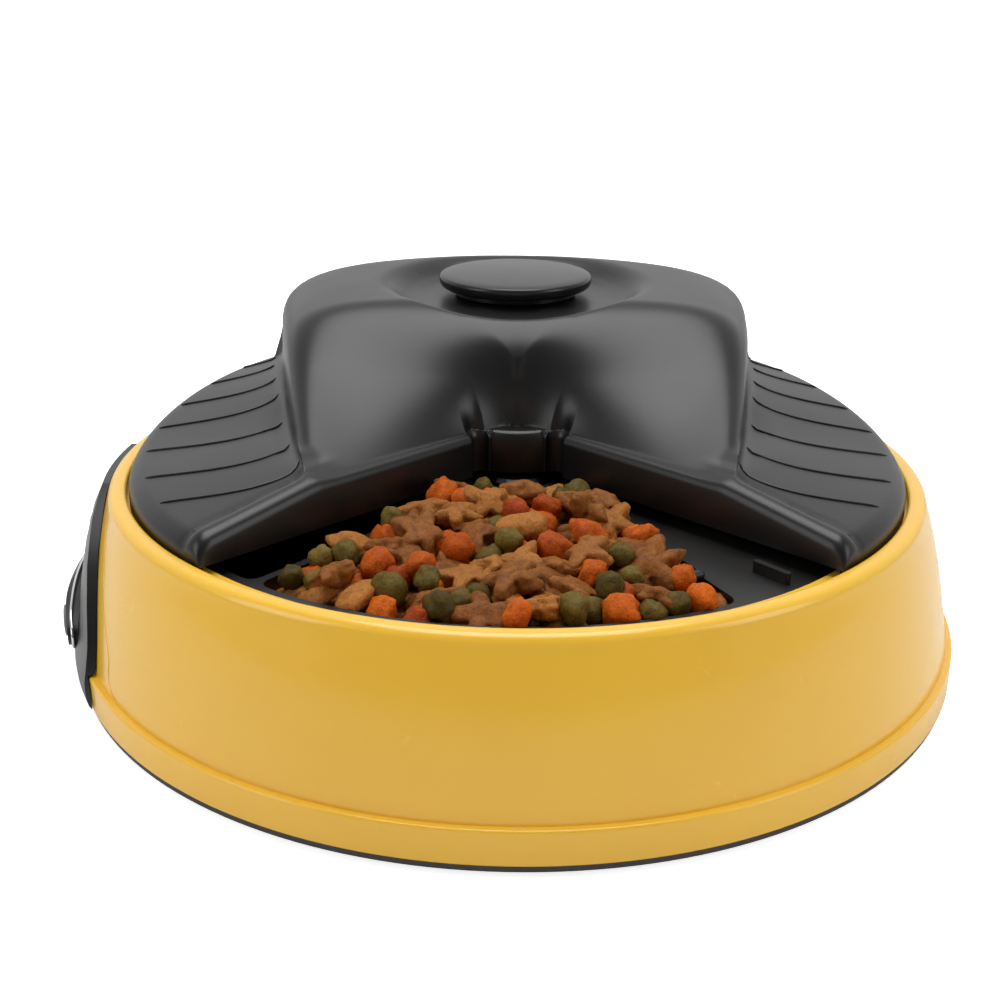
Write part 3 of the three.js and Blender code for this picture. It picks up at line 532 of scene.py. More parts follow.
def ring_section():
    rim_z = CREST_Z - RIM_ROUNDING
    wall_top = wall_radius(rim_z)
    steps = 14
    heights = [WALL_FOOT_Z + (rim_z - WALL_FOOT_Z) * i / steps for i in range(steps)]
    outside = [(SHELL_RADIUS - 0.3, 3.0), (SHELL_RADIUS, 3.4), (SHELL_RADIUS, BAND_TOP_Z - 0.9)]
    outside += arc((SHELL_RADIUS - 0.9, BAND_TOP_Z - 0.9), 0.9, 20, 90, 4)
    outside += [(WALL_FOOT_RADIUS + 0.1, BAND_TOP_Z + 0.1), (WALL_FOOT_RADIUS, WALL_FOOT_Z - 0.3)]
    outside += [(wall_radius(z), z) for z in heights]
    outside += arc((wall_top - RIM_ROUNDING, rim_z), RIM_ROUNDING, 8, 90, 8)
    rim = arc((REBATE_RADIUS + 1.2, CREST_Z - 1.2), 1.2, 90, 180, 4)
    ledge = [(REBATE_RADIUS, LEDGE_Z), (LEDGE_RADIUS, LEDGE_Z), (LEDGE_RADIUS, LEDGE_Z - 2.2),
             (141.0, LEDGE_Z - 2.8)]
    inside = [(wall_radius(z) - SHELL_WALL, z) for z in (54, 36, 18)]
    foot = [(SHELL_RADIUS - SHELL_WALL, BAND_TOP_Z - 2), (SHELL_RADIUS - SHELL_WALL, 3.0)]
    return outside + rim + ledge + inside + foot


# %% [markdown]
# The control panel sits in an opening in the ring, and a narrow yellow frame is set off from the wall
# by a fine groove with round lower corners. The opening and the groove are cut with boolean cutters.


# %% Cutters for the panel's opening and groove
PANEL_AZIMUTH = -90.0
GROOVE_RADIUS = 0.75
GROOVE_TURN = 31.5
GROOVE_CORNER = 9.0
GROOVE_CORNER_TURN = 3.4
GROOVE_UPPER_END = [(18.5, 62.0), (22.0, 54.0), (25.2, 46.0), (27.8, 38.0), (30.0, 31.0)]


def rounded_slab(name, half_width, z0, z1, radius, x0, x1):
    """A rounded slab that runs from x0 to x1, all in millimetres."""
    size = (x1 - x0, 2 * half_width, z1 - z0)
    centre = ((x0 + x1) / 2, 0, (z0 + z1) / 2)
    return place_block(name, size, centre, radius, 8)


def combine(piece, other, operation):
    apply_modifier(piece, "BOOLEAN", object=other, operation=operation, solver="EXACT")
    bpy.data.objects.remove(other)


def subtract(piece, cutter):
    combine(piece, cutter, "DIFFERENCE")


def groove_cutter(side):
    """A fine wire along the wall that runs down beside the panel and bends at its lower corner."""
    azimuth = PANEL_AZIMUTH + side * GROOVE_TURN
    route = [(PANEL_AZIMUTH + side * turn, z) for turn, z in GROOVE_UPPER_END]
    route.append((azimuth, WALL_FOOT_Z + GROOVE_CORNER + 1))
    for bend in range(0, 91, 15):
        across = (1 - math.cos(math.radians(bend))) * GROOVE_CORNER_TURN
        drop = GROOVE_CORNER * (1 - math.sin(math.radians(bend)))
        route.append((azimuth + side * across, WALL_FOOT_Z + drop))
    places = [Vector((*polar(wall_radius(z) + 0.25, turn), z)) * MM for turn, z in route]
    return tube("groove", places, GROOVE_RADIUS, 1.0)


# %% Make the ring
shell = spun("yellow_ring", ring_section(), steps=192)
subtract(shell, rounded_slab("panel_opening", 42, 9, 48, 10, -175, -130))
for side in (-1, 1):
    subtract(shell, groove_cutter(side))
smooth_shade(shell, 28)
hand_over(shell, YELLOW, "root", "yellow_shell", "outer_shell")

# %% [markdown]
# ## The base
# Only a dark line of the base shows under the ring, but it catches the light along its rounded edge.
# The plate keeps the battery door's recess, the speaker's slots and the feet's pockets underneath, so
# the frame's own piece stays, and the edge gets a fine band that is set just proud of it.

# %% The base's edge
band_section = [(150.0, 0.35), *arc((158.2, 1.55), 1.2, -90, 0, 5), (159.4, 2.85), (150.0, 2.85)]
base_edge = spun("base_edge", band_section, steps=192)
smooth_shade(base_edge, 30)
hand_over(base_edge, BASE_GREY, "root", "base_grey")

# %% [markdown]
# ## The lid
# The lid is one moulding: a flat wing on each side, a high hump between them that houses the lock, and
# a wedge cut away at the front. A smooth blend like this has no primitive, so its skin is a height
# field: a formula gives the height at each place, and a mesh of rings and rays samples it. The rays
# crowd together beside the wedge, where the edge is rolled.

# %% The lid's sizes
LID_RADIUS = 138.6
LID_FOOT_Z = 63.0
LID_OPENING_Z = 65.8
LID_WALL = 2.0
OPENING_HALF_ANGLE = 45.0
HUMP_TOP_Z = 121.2
DISH_Y = 60.0
DISH_RADIUS = 46.0
DISH_FLOOR_Z = 115.5
RIM_ROLL = 6.0
NOSE_RADIUS = 11.0
FACE_DEPTH = 26.0
NOSE_SOFTNESS = 9.0
BACK_START = 105.0
NOSE_SHIFT = 6.5
FACE_FOOT_POWER = 2.2
FACE_CREST_POWER = 1.6
SIDE_POWER = 5.2
BACK_POWER = 2.2
FACE_SOFTENING = 26.0
DISH_BLEND = 3.0
FILLET = 5.0


# %% Height of the skin
def hump_side(y):
    """Half width of the hump's foot at a given y."""
    return 83 + 0.195 * y - 0.00043 * y * y


def wing_height(radius, azimuth):
    roll = clamp((radius - (LID_RADIUS - RIM_ROLL)) / RIM_ROLL)
    plateau = min(81.2, 80.5 - 0.17 * (radius - 95))
    rise = 8 * smooth((azimuth - 80) / 55)
    return plateau + rise - RIM_ROLL * (1 - math.sqrt(1 - roll * roll))


def front_share(x, y):
    """How far up its front face a place is. The face follows the wedge at its foot, and straightens."""
    low, high = 0.0, 1.0
    for _ in range(18):
        share = (low + high) / 2
        centre = FACE_DEPTH * (1 - (1 - share ** FACE_FOOT_POWER) ** (1 / FACE_CREST_POWER))
        wedge = math.hypot(x, NOSE_SOFTNESS + FACE_SOFTENING * share ** 2) - NOSE_SHIFT
        contour = centre - wedge * (1 - share) ** 2
        if contour < y:
            low = share
        else:
            high = share
    return low


def hump_share(x, y, radius):
    """How far up the hump a place is, from 0 at its foot to 1 on its roof."""
    across = clamp(abs(x) / max(1, hump_side(y)))
    sides = (1 - across ** SIDE_POWER) ** (1 / SIDE_POWER)
    backward = clamp((radius - BACK_START) / (LID_RADIUS - 0.6 - BACK_START))
    back = (1 - backward ** BACK_POWER) ** (1 / BACK_POWER)
    short = math.hypot(1 - sides, 1 - front_share(x, y), 1 - back)
    return clamp(1 - short)


def fillet_height(x, y):
    """The round inside corner where a wing meets the hump's side."""
    outward = abs(x) - hump_side(y)
    if outward >= FILLET:
        return 0.0
    if outward <= 0:
        return FILLET
    return FILLET - math.sqrt(FILLET ** 2 - (FILLET - outward) ** 2)


def lid_height(x, y):
    radius = math.hypot(x, y)
    azimuth = abs(math.degrees(math.atan2(x, -y)))
    foot = wing_height(radius, azimuth)
    share = hump_share(x, y, radius)
    height = foot + (HUMP_TOP_Z - foot) * share
    forward = smooth((y + abs(x) - 4) / 22)
    height = max(height, foot + fillet_height(x, y) * forward)
    from_dish = math.hypot(x, y - DISH_Y)
    if from_dish > DISH_RADIUS + 12:
        return height
    dish = DISH_FLOOR_Z + 10 * smooth((from_dish - DISH_RADIUS + 4) / 16)
    nearer = clamp(0.5 + 0.5 * (dish - height) / DISH_BLEND)
    return dish + (height - dish) * nearer - DISH_BLEND * nearer * (1 - nearer)


# %% [markdown]
# The rays run from the middle out to the rim. Where a ray crosses the foot of the hump, extra rings
# follow that line, so the foot stays crisp. Across the wedge, the rings are cut short: there the lid
# ends in a small rounded nose. The vertical walls of the wedge hang from the outline that is left.

# %% Rays and rings
WEDGE_ROLL = 3.0
FLUTE_RADIUS = 4.1
FLUTE_REACH = 18.4
NOSE_EDGE = 13.2
NOSE_ROLL = 2.6


def fluted(x, y):
    """Moves a place in plan so that the wedge's wall bends round an upright flute on each side."""
    side = 1 if x >= 0 else -1
    along = (abs(x) - y) / math.sqrt(2) - FLUTE_REACH
    inward = (abs(x) + y) / math.sqrt(2)
    near = math.exp(-((inward / 4.3) ** 2))
    if abs(along) >= FLUTE_RADIUS or inward > 16:
        return x, y
    angle = math.pi / 2 * along / FLUTE_RADIUS
    along_new = along + near * (FLUTE_RADIUS * math.sin(angle) - along)
    inward_new = inward + near * FLUTE_RADIUS * math.cos(angle)
    ray = along_new + FLUTE_REACH
    return side * (ray + inward_new) / math.sqrt(2), (inward_new - ray) / math.sqrt(2)


def ray_azimuths():
    """Azimuths from one edge of the wedge round the back to the other, crowded at both edges."""
    near = [OPENING_HALF_ANGLE + 0.35 * i ** 1.35 for i in range(14)]
    count = 120
    first = near[-1] + 1.4
    middle = [first + (360 - 2 * first) * i / count for i in range(count + 1)]
    return near + middle + [360 - a for a in reversed(near)]


def foot_crossing(azimuth):
    """Where a ray leaves the hump's foot, or the rim if it never does."""
    dx, dy = polar(1, azimuth)
    distance = 20.0
    while distance < LID_RADIUS - 9 and abs(distance * dx) < hump_side(distance * dy):
        distance += 0.1
    return distance


def ring_distances(azimuth):
    foot = foot_crossing(azimuth)
    fine = [NOSE_EDGE + 0.4 * i for i in range(28)]
    start = fine[-1] + 0.6
    inner = fine + [start + (foot - 0.05 - start) * (1 - (1 - i / 40) ** 1.3) for i in range(41)]
    near = [foot + FILLET * share for share in (0.0, 0.06, 0.16, 0.3, 0.5, 0.75, 1.0)]
    rim_start = LID_RADIUS - RIM_ROLL
    last = min(near[-1], rim_start - 0.5)
    near = [min(d, last - 0.02 * (6 - k)) for k, d in enumerate(near)]
    outer = [last + (rim_start - last) * i / 14 for i in range(1, 15)]
    roll = [rim_start + RIM_ROLL * math.sin(math.radians(9 * i)) for i in range(1, 11)]
    return inner + near + outer + roll


# %% Roll the edges of the wedge
def rolled_height(x, y, height):
    """Rounds the lid down along the wedge's two edges, and raises a soft bead beside each."""
    radius = math.hypot(x, y)
    azimuth = abs(math.degrees(math.atan2(x, -y)))
    off_edge = radius * math.sin(math.radians(min(90, azimuth - OPENING_HALF_ANGLE)))
    wing = smooth((abs(x) - hump_side(y) + 14) / 16)
    bead = 1.5 * wing * math.exp(-((off_edge - 5.0) / 3.2) ** 2)
    groove = 0.8 * wing * math.exp(-((off_edge - 9.6) / 1.3) ** 2)
    short = clamp(1 - off_edge / WEDGE_ROLL)
    drop = WEDGE_ROLL * (1 - math.sqrt(1 - short * short))
    return height + bead - groove - drop


# %% The lid's solid
def nose_radius(azimuth):
    """The nose's outline across the wedge."""
    return NOSE_RADIUS + (NOSE_EDGE - NOSE_RADIUS) * (abs(azimuth) / OPENING_HALF_ANGLE) ** 2


def lid_points():
    """Grid of skin points, one column per ray."""
    columns = []
    for azimuth in ray_azimuths():
        column = []
        for distance in ring_distances(azimuth):
            x, y = polar(distance, azimuth)
            height = rolled_height(x, y, lid_height(x, y))
            column.append((*fluted(x, y), height))
        columns.append(column)
    return columns


def nose_points(columns):
    """Rings of the small round middle, which goes all the way round and makes the nose."""
    shares = [i / 14 for i in range(1, 14)] + [0.965]
    azimuths = ray_azimuths()
    front = [OPENING_HALF_ANGLE * (1 - i / 16) for i in range(1, 32)]
    rounds = azimuths + [360 + a for a in reversed(front)]
    rings = []
    for share in shares:
        ring = []
        for azimuth in rounds:
            wrapped = (azimuth + 180) % 360 - 180
            open_side = abs(wrapped) < OPENING_HALF_ANGLE
            edge = nose_radius(wrapped) if open_side else NOSE_EDGE
            x, y = polar(edge * share, wrapped)
            short = clamp(1 - edge * (1 - share) / NOSE_ROLL) if open_side else 0
            drop = NOSE_ROLL * (1 - math.sqrt(1 - short * short))
            ring.append((x, y, lid_height(x, y) - drop))
        rings.append(ring)
    return rings, rounds


def make_lid():
    columns = lid_points()
    rings, rounds = nose_points(columns)
    points, faces = [], []

    def add(point):
        points.append(tuple(v * MM for v in point))
        return len(points) - 1

    centre = add((0, 0, lid_height(0, 0)))
    ring_ids = [[add(p) for p in ring] for ring in rings]
    column_ids = [[add(p) for p in column] for column in columns]
    nose_edge = []
    for azimuth in rounds[len(columns):]:
        wrapped = (azimuth + 180) % 360 - 180
        x, y = polar(nose_radius(wrapped), wrapped)
        nose_edge.append(add((x, y, lid_height(x, y) - NOSE_ROLL)))
    outer = [column[0] for column in column_ids] + nose_edge
    total = len(rounds)
    for i in range(total):
        j = (i + 1) % total
        faces.append((centre, ring_ids[0][i], ring_ids[0][j]))
        for inner, ring in zip(ring_ids, ring_ids[1:]):
            faces.append((inner[i], ring[i], ring[j], inner[j]))
        faces.append((ring_ids[-1][i], outer[i], outer[j], ring_ids[-1][j]))
    for here, there in zip(column_ids, column_ids[1:]):
        for k in range(len(here) - 1):
            faces.append((here[k], here[k + 1], there[k + 1], there[k]))
    outline = [column[-1] for column in column_ids]
    outline += list(reversed(column_ids[-1][:-1]))
    outline += nose_edge
    outline += column_ids[0][:-1]
    skirt = []
    for k, top in enumerate(outline):
        x, y, z = (v / MM for v in points[top])
        on_rim = math.hypot(x, y) > LID_RADIUS - 0.2
        skirt.append(add((x, y, LID_FOOT_Z if on_rim else LID_OPENING_Z)))
    count = len(outline)
    for i in range(count):
        j = (i + 1) % count
        faces.append((outline[i], skirt[i], skirt[j], outline[j]))
    return mesh_piece("lid_cover", points, faces)


# %% Thicken it
lid = make_lid()
tidy_normals(lid)
smooth_shade(lid, 40)
apply_modifier(lid, "SOLIDIFY", thickness=LID_WALL * MM, offset=-1.0, use_even_offset=False)
print("lid", len(lid.data.vertices), "points")

smooth_shade(lid, 40)
hand_over(lid, LID_BLACK, "lid", "lid_black", "lid")

# %% [markdown]
# ## Ribs on the wings
# Eight thin ribs cross each wing in shallow curves. Each one is a curve laid on the skin, given a round
# section and made a mesh.

# %% Rib routes
RIB_INNER = [(73, -49), (79, -29), (85, -4), (90, 23), (94, 44), (98, 67), (100, 84), (101, 98)]
RIB_OUTER_AZIMUTHS = [61, 72, 84, 94, 104, 114, 123, 131]
RIB_OUTER_RADIUS = 133.0
RIB_BOW = 0.6
RIB_THICKNESS = 0.5


def rib_route(inner, azimuth, side, steps=22):
    outer = Vector(polar(RIB_OUTER_RADIUS, azimuth))
    first = Vector(inner)
    along = outer - first
    bow = Vector((along.y, -along.x)) * RIB_BOW
    route = []
    for i in range(steps + 1):
        t = i / steps
        x, y = first + along * t + bow * t ** 0.7 * (1 - t) ** 1.3
        route.append(Vector((side * x, y, lid_height(x, y) + 0.05)) * MM)
    return route


ribs = []
for side in (-1, 1):
    for inner, azimuth in zip(RIB_INNER, RIB_OUTER_AZIMUTHS):
        ribs.append(tube("rib", rib_route(inner, azimuth, side), RIB_THICKNESS))
ribs = join(ribs, "lid_ribs")
smooth_shade(ribs, 60)
hand_over(ribs, LID_BLACK, "lid", "lid_black")

# %% [markdown]
# ## The control panel
# The panel is a curved black cover that follows the ring, with a raised oval pad near its foot. The pad
# has a bright trim line round it and five round buttons, and a dark window sits above it. The cover is
# a part turn of its section, and a wide oval cutter gives it an arched outline.

# %% Panel sizes
PANEL_SECTION = [(160.6, 3.8), (161.2, 4.6), (161.7, 6.6), (161.9, 9.5), (161.7, 13), (159.2, 24),
                 (157.2, 36), (154.9, 47), (151.6, 58), (148.3, 65)]
PANEL_SWEEP = 60.0
COVER_HALF_WIDTH = 74.0
COVER_HEIGHT = 68.0
PAD_CENTRE_Z = 18.0
PAD_RADIUS = 163.6
PAD_HALF_WIDTH = 50.0
PAD_HALF_HEIGHT = 11.5
BUTTON_COUNT = 5
BUTTON_PITCH = 6.2
BUTTON_RADIUS = 5.6


def panel_backing():
    """The cover's inner side, a little outside the ring's own surface."""
    wall = [(wall_radius(z) + 0.4, z) for z in (62, 50, 38, 26)]
    return [(145.9, 65.0), *wall, (158.1, 16.1), (SHELL_RADIUS + 0.35, 15.2), (SHELL_RADIUS + 0.35, 3.8)]


def keep_inside(piece, cutter):
    combine(piece, cutter, "INTERSECT")


def oval_cutter(half_width, half_height, centre_z, x0=-175.0, x1=-110.0):
    """An oval prism that runs along X."""
    deselect()
    place = Vector(((x0 + x1) / 2, 0, centre_z)) * MM
    bpy.ops.mesh.primitive_cylinder_add(vertices=96, radius=MM, depth=(x1 - x0) * MM, location=place,
                                        rotation=(0, math.pi / 2, 0))
    piece = bpy.context.active_object
    piece.scale = (half_height, half_width, 1)
    bpy.ops.object.transform_apply(location=True, rotation=True, scale=True)
    return piece


def radial_button(name, azimuth, radius, r0, r1, rounding):
    """A short cylinder that points away from the Z axis, with its outer edge rounded."""
    deselect()
    x, y = polar((r0 + r1) / 2 * MM, azimuth)
    turn = math.radians(azimuth)
    bpy.ops.mesh.primitive_cylinder_add(vertices=48, radius=radius * MM, depth=(r1 - r0) * MM,
                                        location=(x, y, PAD_CENTRE_Z * MM), rotation=(math.pi / 2, 0, turn))
    piece = bpy.context.active_object
    piece.name = name
    bpy.ops.object.transform_apply(location=True, rotation=True, scale=True)
    if rounding:
        edit(piece)
        bpy.ops.mesh.select_all(action="DESELECT")
        bpy.ops.object.mode_set(mode="OBJECT")
        for face in piece.data.polygons:
            flat = abs(face.normal.dot(Vector(polar(1, azimuth)).to_3d())) > 0.9
            face.select = flat and face.center.xy.length > r1 * MM - 0.2 * MM
        bpy.ops.object.mode_set(mode="EDIT")
        bpy.ops.mesh.inset(thickness=0.35 * radius * MM)
        bpy.ops.transform.translate(value=Vector((*polar(-0.25 * MM, azimuth), 0)))
        bpy.ops.object.mode_set(mode="OBJECT")
        apply_modifier(piece, "BEVEL", width=rounding * MM, segments=4, limit_method="ANGLE",
                       angle_limit=math.radians(50))
    return piece


# %% Cover and pad
def button_azimuths():
    middle = (BUTTON_COUNT - 1) / 2
    return [PANEL_AZIMUTH + (i - middle) * BUTTON_PITCH for i in range(BUTTON_COUNT)]


def make_cover():
    first = PANEL_AZIMUTH - PANEL_SWEEP / 2
    cover = spun("panel_cover", PANEL_SECTION + panel_backing(), first, PANEL_SWEEP, 72)
    keep_inside(cover, oval_cutter(COVER_HALF_WIDTH, COVER_HEIGHT, 0.0))
    pad_section = [(159.4, 5.0), (PAD_RADIUS - 0.9, 5.0), *arc((PAD_RADIUS - 3, 10), 3, -60, 0, 4),
                   *arc((PAD_RADIUS - 3, 26), 3, 0, 60, 4), (158.6, 31.0), (158.6, 20.0)]
    pad = spun("pad", pad_section, first, PANEL_SWEEP, 72)
    keep_inside(pad, oval_cutter(PAD_HALF_WIDTH, PAD_HALF_HEIGHT, PAD_CENTRE_Z))
    subtract(cover, oval_cutter(PAD_HALF_WIDTH + 1.7, PAD_HALF_HEIGHT + 1.7, PAD_CENTRE_Z, -175, -160.6))
    combine(cover, pad, "UNION")
    subtract(cover, rounded_slab("window_hole", 26, 35, 53, 3, -175, -120))
    for azimuth in button_azimuths():
        subtract(cover, radial_button("button_hole", azimuth, BUTTON_RADIUS + 0.35, 150, 170, 0))
    return cover


cover = make_cover()
smooth_shade(cover, 30)
hand_over(cover, LID_BLACK, "root", "lid_black", "control_fascia")

# %% [markdown]
# The trim is a bright wire that lies in the groove round the pad. The window is a curved pane, and
# each button is a cylinder whose face is inset, pressed in and rounded.

# %% Trim, window and buttons
trim_route = []
for step in range(97):
    turn = 2 * math.pi * step / 96
    y = (PAD_HALF_WIDTH + 0.85) * math.cos(turn)
    z = PAD_CENTRE_Z + (PAD_HALF_HEIGHT + 0.85) * math.sin(turn)
    radius = PAD_RADIUS - 1.7 if z < 24 else PAD_RADIUS - 1.7 - 0.22 * (z - 24)
    trim_route.append(Vector((-math.sqrt(radius ** 2 - y ** 2), y, z)) * MM)
trim = tube("pad_trim", trim_route, 0.6)
smooth_shade(trim, 60)
hand_over(trim, CHROME, "root", "chrome", "pad_trim_ring")

pane_section = [(155.4, 34.0), (157.2, 34.0), (155.4, 44.0), (153.1, 54.0), (151.2, 54.0), (153.5, 44.0)]
pane = spun("display_pane", pane_section, PANEL_AZIMUTH - 12, 24, 32)
keep_inside(pane, rounded_slab("pane_trim", 25.7, 35.3, 52.7, 2.7, -175, -120))
smooth_shade(pane, 30)
hand_over(pane, WINDOW, "root", "window_tint", "display_window")

for number, azimuth in enumerate(button_azimuths(), 1):
    button = radial_button(f"panel_push_{number}", azimuth, BUTTON_RADIUS, 155.4, PAD_RADIUS + 1.2, 0.6)
    smooth_shade(button, 35)
    hand_over(button, BUTTON_GREY, f"button_{number}", "button_grey", f"panel_button_{number}")

# %% [markdown]
# ## The lock knob
# A flat, slightly domed disc that sits in the hump's dish. Its side is polished, and a smaller disc
# under it hides the bearing.

# %% Knob
def moved_to_knob(piece):
    piece.data.transform(Matrix.Translation((0, DISH_Y * MM, 0)))
    return piece


cap_section = [(0, 119.0), (27.2, 119.0), *arc((27.6, 121.2), 2.2, -90, -10, 7),
               *arc((28.4, 122.2), 1.6, 0, 75, 6), (24, 124.1), (16, 124.45), (8, 124.65), (0, 124.7)]
cap = moved_to_knob(spun("lock_knob_cap", cap_section, steps=96))
smooth_shade(cap, 30)
hand_over(cap, KNOB_BLACK, "lock_knob", "lid_black", "knob_cap")
disc_section = [(0, 116), (23.4, 116), (24, 116.6), (24, 118.7), (0, 118.7)]
disc = moved_to_knob(spun("lock_knob_disc", disc_section, steps=96))
smooth_shade(disc, 30)
hand_over(disc, KNOB_BLACK, "lock_knob", "lid_black", "knob_disc")

# %% [markdown]
# ## The carousel tray
# Four wells and one blank sector turn under the lid. The tray is a spun disc. Each well is a cup joined
# under it and then hollowed, and both are lofted from the well's rounded outline, because an edge bevel
# folds over itself in such narrow corners. A small loop and a low tab stand beside the first well.

# %% Outline of a well
TRAY_TOP_Z = 61.0
TRAY_RADIUS = 131.5
WELL_FLOOR_Z = 38.5
WELL_INNER = 30.0
WELL_OUTER = 127.0
WELL_PITCH = 67.5
WELL_COUNT = 4
FIRST_DIVIDER = -40.0
DIVIDER = 3.0
BLANK_MARGIN = 10.0
BLANK_TURN = 1.5


def side_azimuth(radius, azimuth, offset):
    """The azimuth, at one radius, of a well's side. The side runs straight, beside a ray."""
    return azimuth + math.degrees(math.asin(offset / radius))


def well_sides(index):
    low = FIRST_DIVIDER - index * WELL_PITCH
    start, end = (low, DIVIDER / 2), (low + WELL_PITCH, -DIVIDER / 2)
    if index == 0:
        end = (end[0] - BLANK_TURN, BLANK_MARGIN)
    if index == WELL_COUNT - 1:
        start = (start[0] + BLANK_TURN, -BLANK_MARGIN)
    return start, end


def bent(first, corner, last, steps=6):
    """Points of a smooth bend from one place to another that aims at a corner."""
    points = []
    for i in range(1, steps + 1):
        t = i / steps
        weights = ((1 - t) ** 2, 2 * t * (1 - t), t * t)
        points.append(tuple(sum(w * p[k] for w, p in zip(weights, (first, corner, last))) for k in (0, 1)))
    return points


def well_outline(index, grow, corner):
    """A well's outline with rounded corners, in millimetres, grown outwards all round."""
    start, end = well_sides(index)
    start, end = (start[0], start[1] - grow), (end[0], end[1] + grow)
    inner, outer = WELL_INNER - grow, WELL_OUTER + grow
    points = []
    outer_side = (outer, -corner, start, end, 26)
    inner_side = (inner, corner, end, start, 8)
    for radius, back, first, last, steps in (outer_side, inner_side):
        low, high = side_azimuth(radius, *first), side_azimuth(radius, *last)
        slack = math.copysign(math.degrees(corner / radius), high - low)
        approach = polar(radius + back, side_azimuth(radius + back, *first))
        leave = polar(radius + back, side_azimuth(radius + back, *last))
        points.append(approach)
        points += bent(approach, polar(radius, low), polar(radius, low + slack))
        sweep = high - low - 2 * slack
        points += [polar(radius, low + slack + sweep * i / steps) for i in range(1, steps + 1)]
        points += bent(polar(radius, high - slack), polar(radius, high), leave)
    return points


def well_solid(index, grow, z0, z1, corner, floor_round):
    """A well's space as a solid: rings of its outline, drawn in towards the floor by a round."""
    levels = []
    for angle in (90, 72, 54, 36, 18, 0):
        turn = math.radians(angle)
        levels.append((grow - floor_round * (1 - math.cos(turn)), z0 + floor_round * (1 - math.sin(turn))))
    levels.append((grow, z1))
    points, faces = [], []
    for inset, z in levels:
        points += [Vector((x, y, z)) * MM for x, y in well_outline(index, inset, corner)]
    count = len(points) // len(levels)
    for level in range(len(levels) - 1):
        low, high = level * count, (level + 1) * count
        faces += [(low + i, low + (i + 1) % count, high + (i + 1) % count, high + i) for i in range(count)]
    faces.append(tuple(range(count - 1, -1, -1)))
    faces.append(tuple(range((len(levels) - 1) * count, len(levels) * count)))
    piece = mesh_piece("well", points, faces)
    tidy_normals(piece)
    return piece


# %% Loop and tab
LOOP_SIZE = (7.2, 14.0, 3.4)
LOOP_HOLE = (3.2, 9.4, 8.0)
LOOP_PLACE = (50.8, -87.3, 61.5)
LOOP_TURN = 26.0
TAB_SIZE = (2.2, 14.0, 5.0)
TAB_RADIUS = 120.0
TAB_AZIMUTH = 40.0
TAB_LIFT = 1.4


# %% Make the tray
def make_tray():
    rim = TRAY_TOP_Z
    section = [(14.0, rim - 2.2), (TRAY_RADIUS - 2, rim - 2.2), (TRAY_RADIUS - 2, rim - 6.0),
               (TRAY_RADIUS, rim - 6.0), *arc((TRAY_RADIUS - 0.8, rim - 0.8), 0.8, 0, 90, 4), (14.0, rim)]
    plate = spun("carousel_tray", section, steps=144)
    for index in range(WELL_COUNT):
        cup = well_solid(index, 2.0, WELL_FLOOR_Z - 2, rim - 1.2, 6.0, 4.0)
        combine(plate, cup, "UNION")
    for index in range(WELL_COUNT):
        subtract(plate, well_solid(index, 0.0, WELL_FLOOR_Z, rim + 6, 5.0, 3.5))
    loop = place_block("loop", LOOP_SIZE, LOOP_PLACE, 1.4, 5, turn=LOOP_TURN)
    subtract(loop, place_block("loop_hole", LOOP_HOLE, LOOP_PLACE, 0.8, 5, 2, LOOP_TURN))
    combine(plate, loop, "UNION")
    tab_place = (*polar(TAB_RADIUS, TAB_AZIMUTH), rim + TAB_LIFT)
    combine(plate, place_block("tab", TAB_SIZE, tab_place, 0.9, 5, 2, TAB_AZIMUTH), "UNION")
    return plate


tray = make_tray()
tidy_normals(tray)
smooth_shade(tray, 35)
hand_over(tray, TRAY_BLACK, "tray", "tray_black", "food_tray")

# %% [markdown]
# ## The meal
# The meal is dry food: orange rounds, dark olive rounds, and tan stars. Each kind has a few
# shapes, lumpy as extruded and dried dough is. They are dropped into the well one after another, each
# on the lowest free place it is given, so they rest on each other instead of floating.

# %% Shapes of the food
FOOD_SEED = 7
FOOD_FACES = 3
draw = random.Random(FOOD_SEED)


def kibble_shape(kind, seed):
    """Points of one piece of food, from a ball pushed into shape. Millimetres, about its centre."""
    deselect()
    detail = FOOD_FACES + (1 if kind == "star" else 0)
    bpy.ops.mesh.primitive_ico_sphere_add(subdivisions=detail, radius=1)
    ball = bpy.context.active_object
    offset = Vector((seed * 3.1, seed * 1.7, seed * 0.9))
    for vertex in ball.data.vertices:
        way = vertex.co.normalized()
        lumps = 1 + 0.3 * noise.noise(way * 1.5 + offset) + 0.1 * noise.noise(way * 4 + offset)
        if kind == "star":
            turn = math.atan2(way.y, way.x)
            flat = math.hypot(way.x, way.y)
            petals = 1 + 0.36 * flat * math.cos((4 + seed % 2) * turn + seed)
            vertex.co = Vector((way.x * petals, way.y * petals, way.z * 0.58)) * lumps * 7.9
        elif kind == "bone":
            ends = 1 + 0.3 * (abs(way.x) ** 1.5) - 0.12 * (1 - abs(way.x))
            vertex.co = Vector((way.x * 1.25, way.y * 0.72 * ends, way.z * 0.55)) * lumps * 6.9
        elif kind == "round":
            vertex.co = Vector((way.x, way.y * 0.92, way.z * 0.78)) * lumps * 6.5
        else:
            vertex.co = Vector((way.x, way.y * 0.88, way.z * 0.86)) * lumps * 5.3
    mesh = ball.data
    bpy.data.objects.remove(ball)
    return mesh


print("food is drawn with seed", FOOD_SEED)


# %% Where each piece lands
def in_well(x, y, margin):
    """True if a place is inside the well at the opening, at least a margin from its sides."""
    radius = math.hypot(x, y)
    azimuth = math.degrees(math.atan2(x, -y))
    if not WELL_INNER + margin < radius < WELL_OUTER - margin:
        return False
    start, end = well_sides(0)
    low = side_azimuth(radius, start[0], start[1] + margin)
    high = side_azimuth(radius, end[0], end[1] - margin)
    return low < azimuth < high


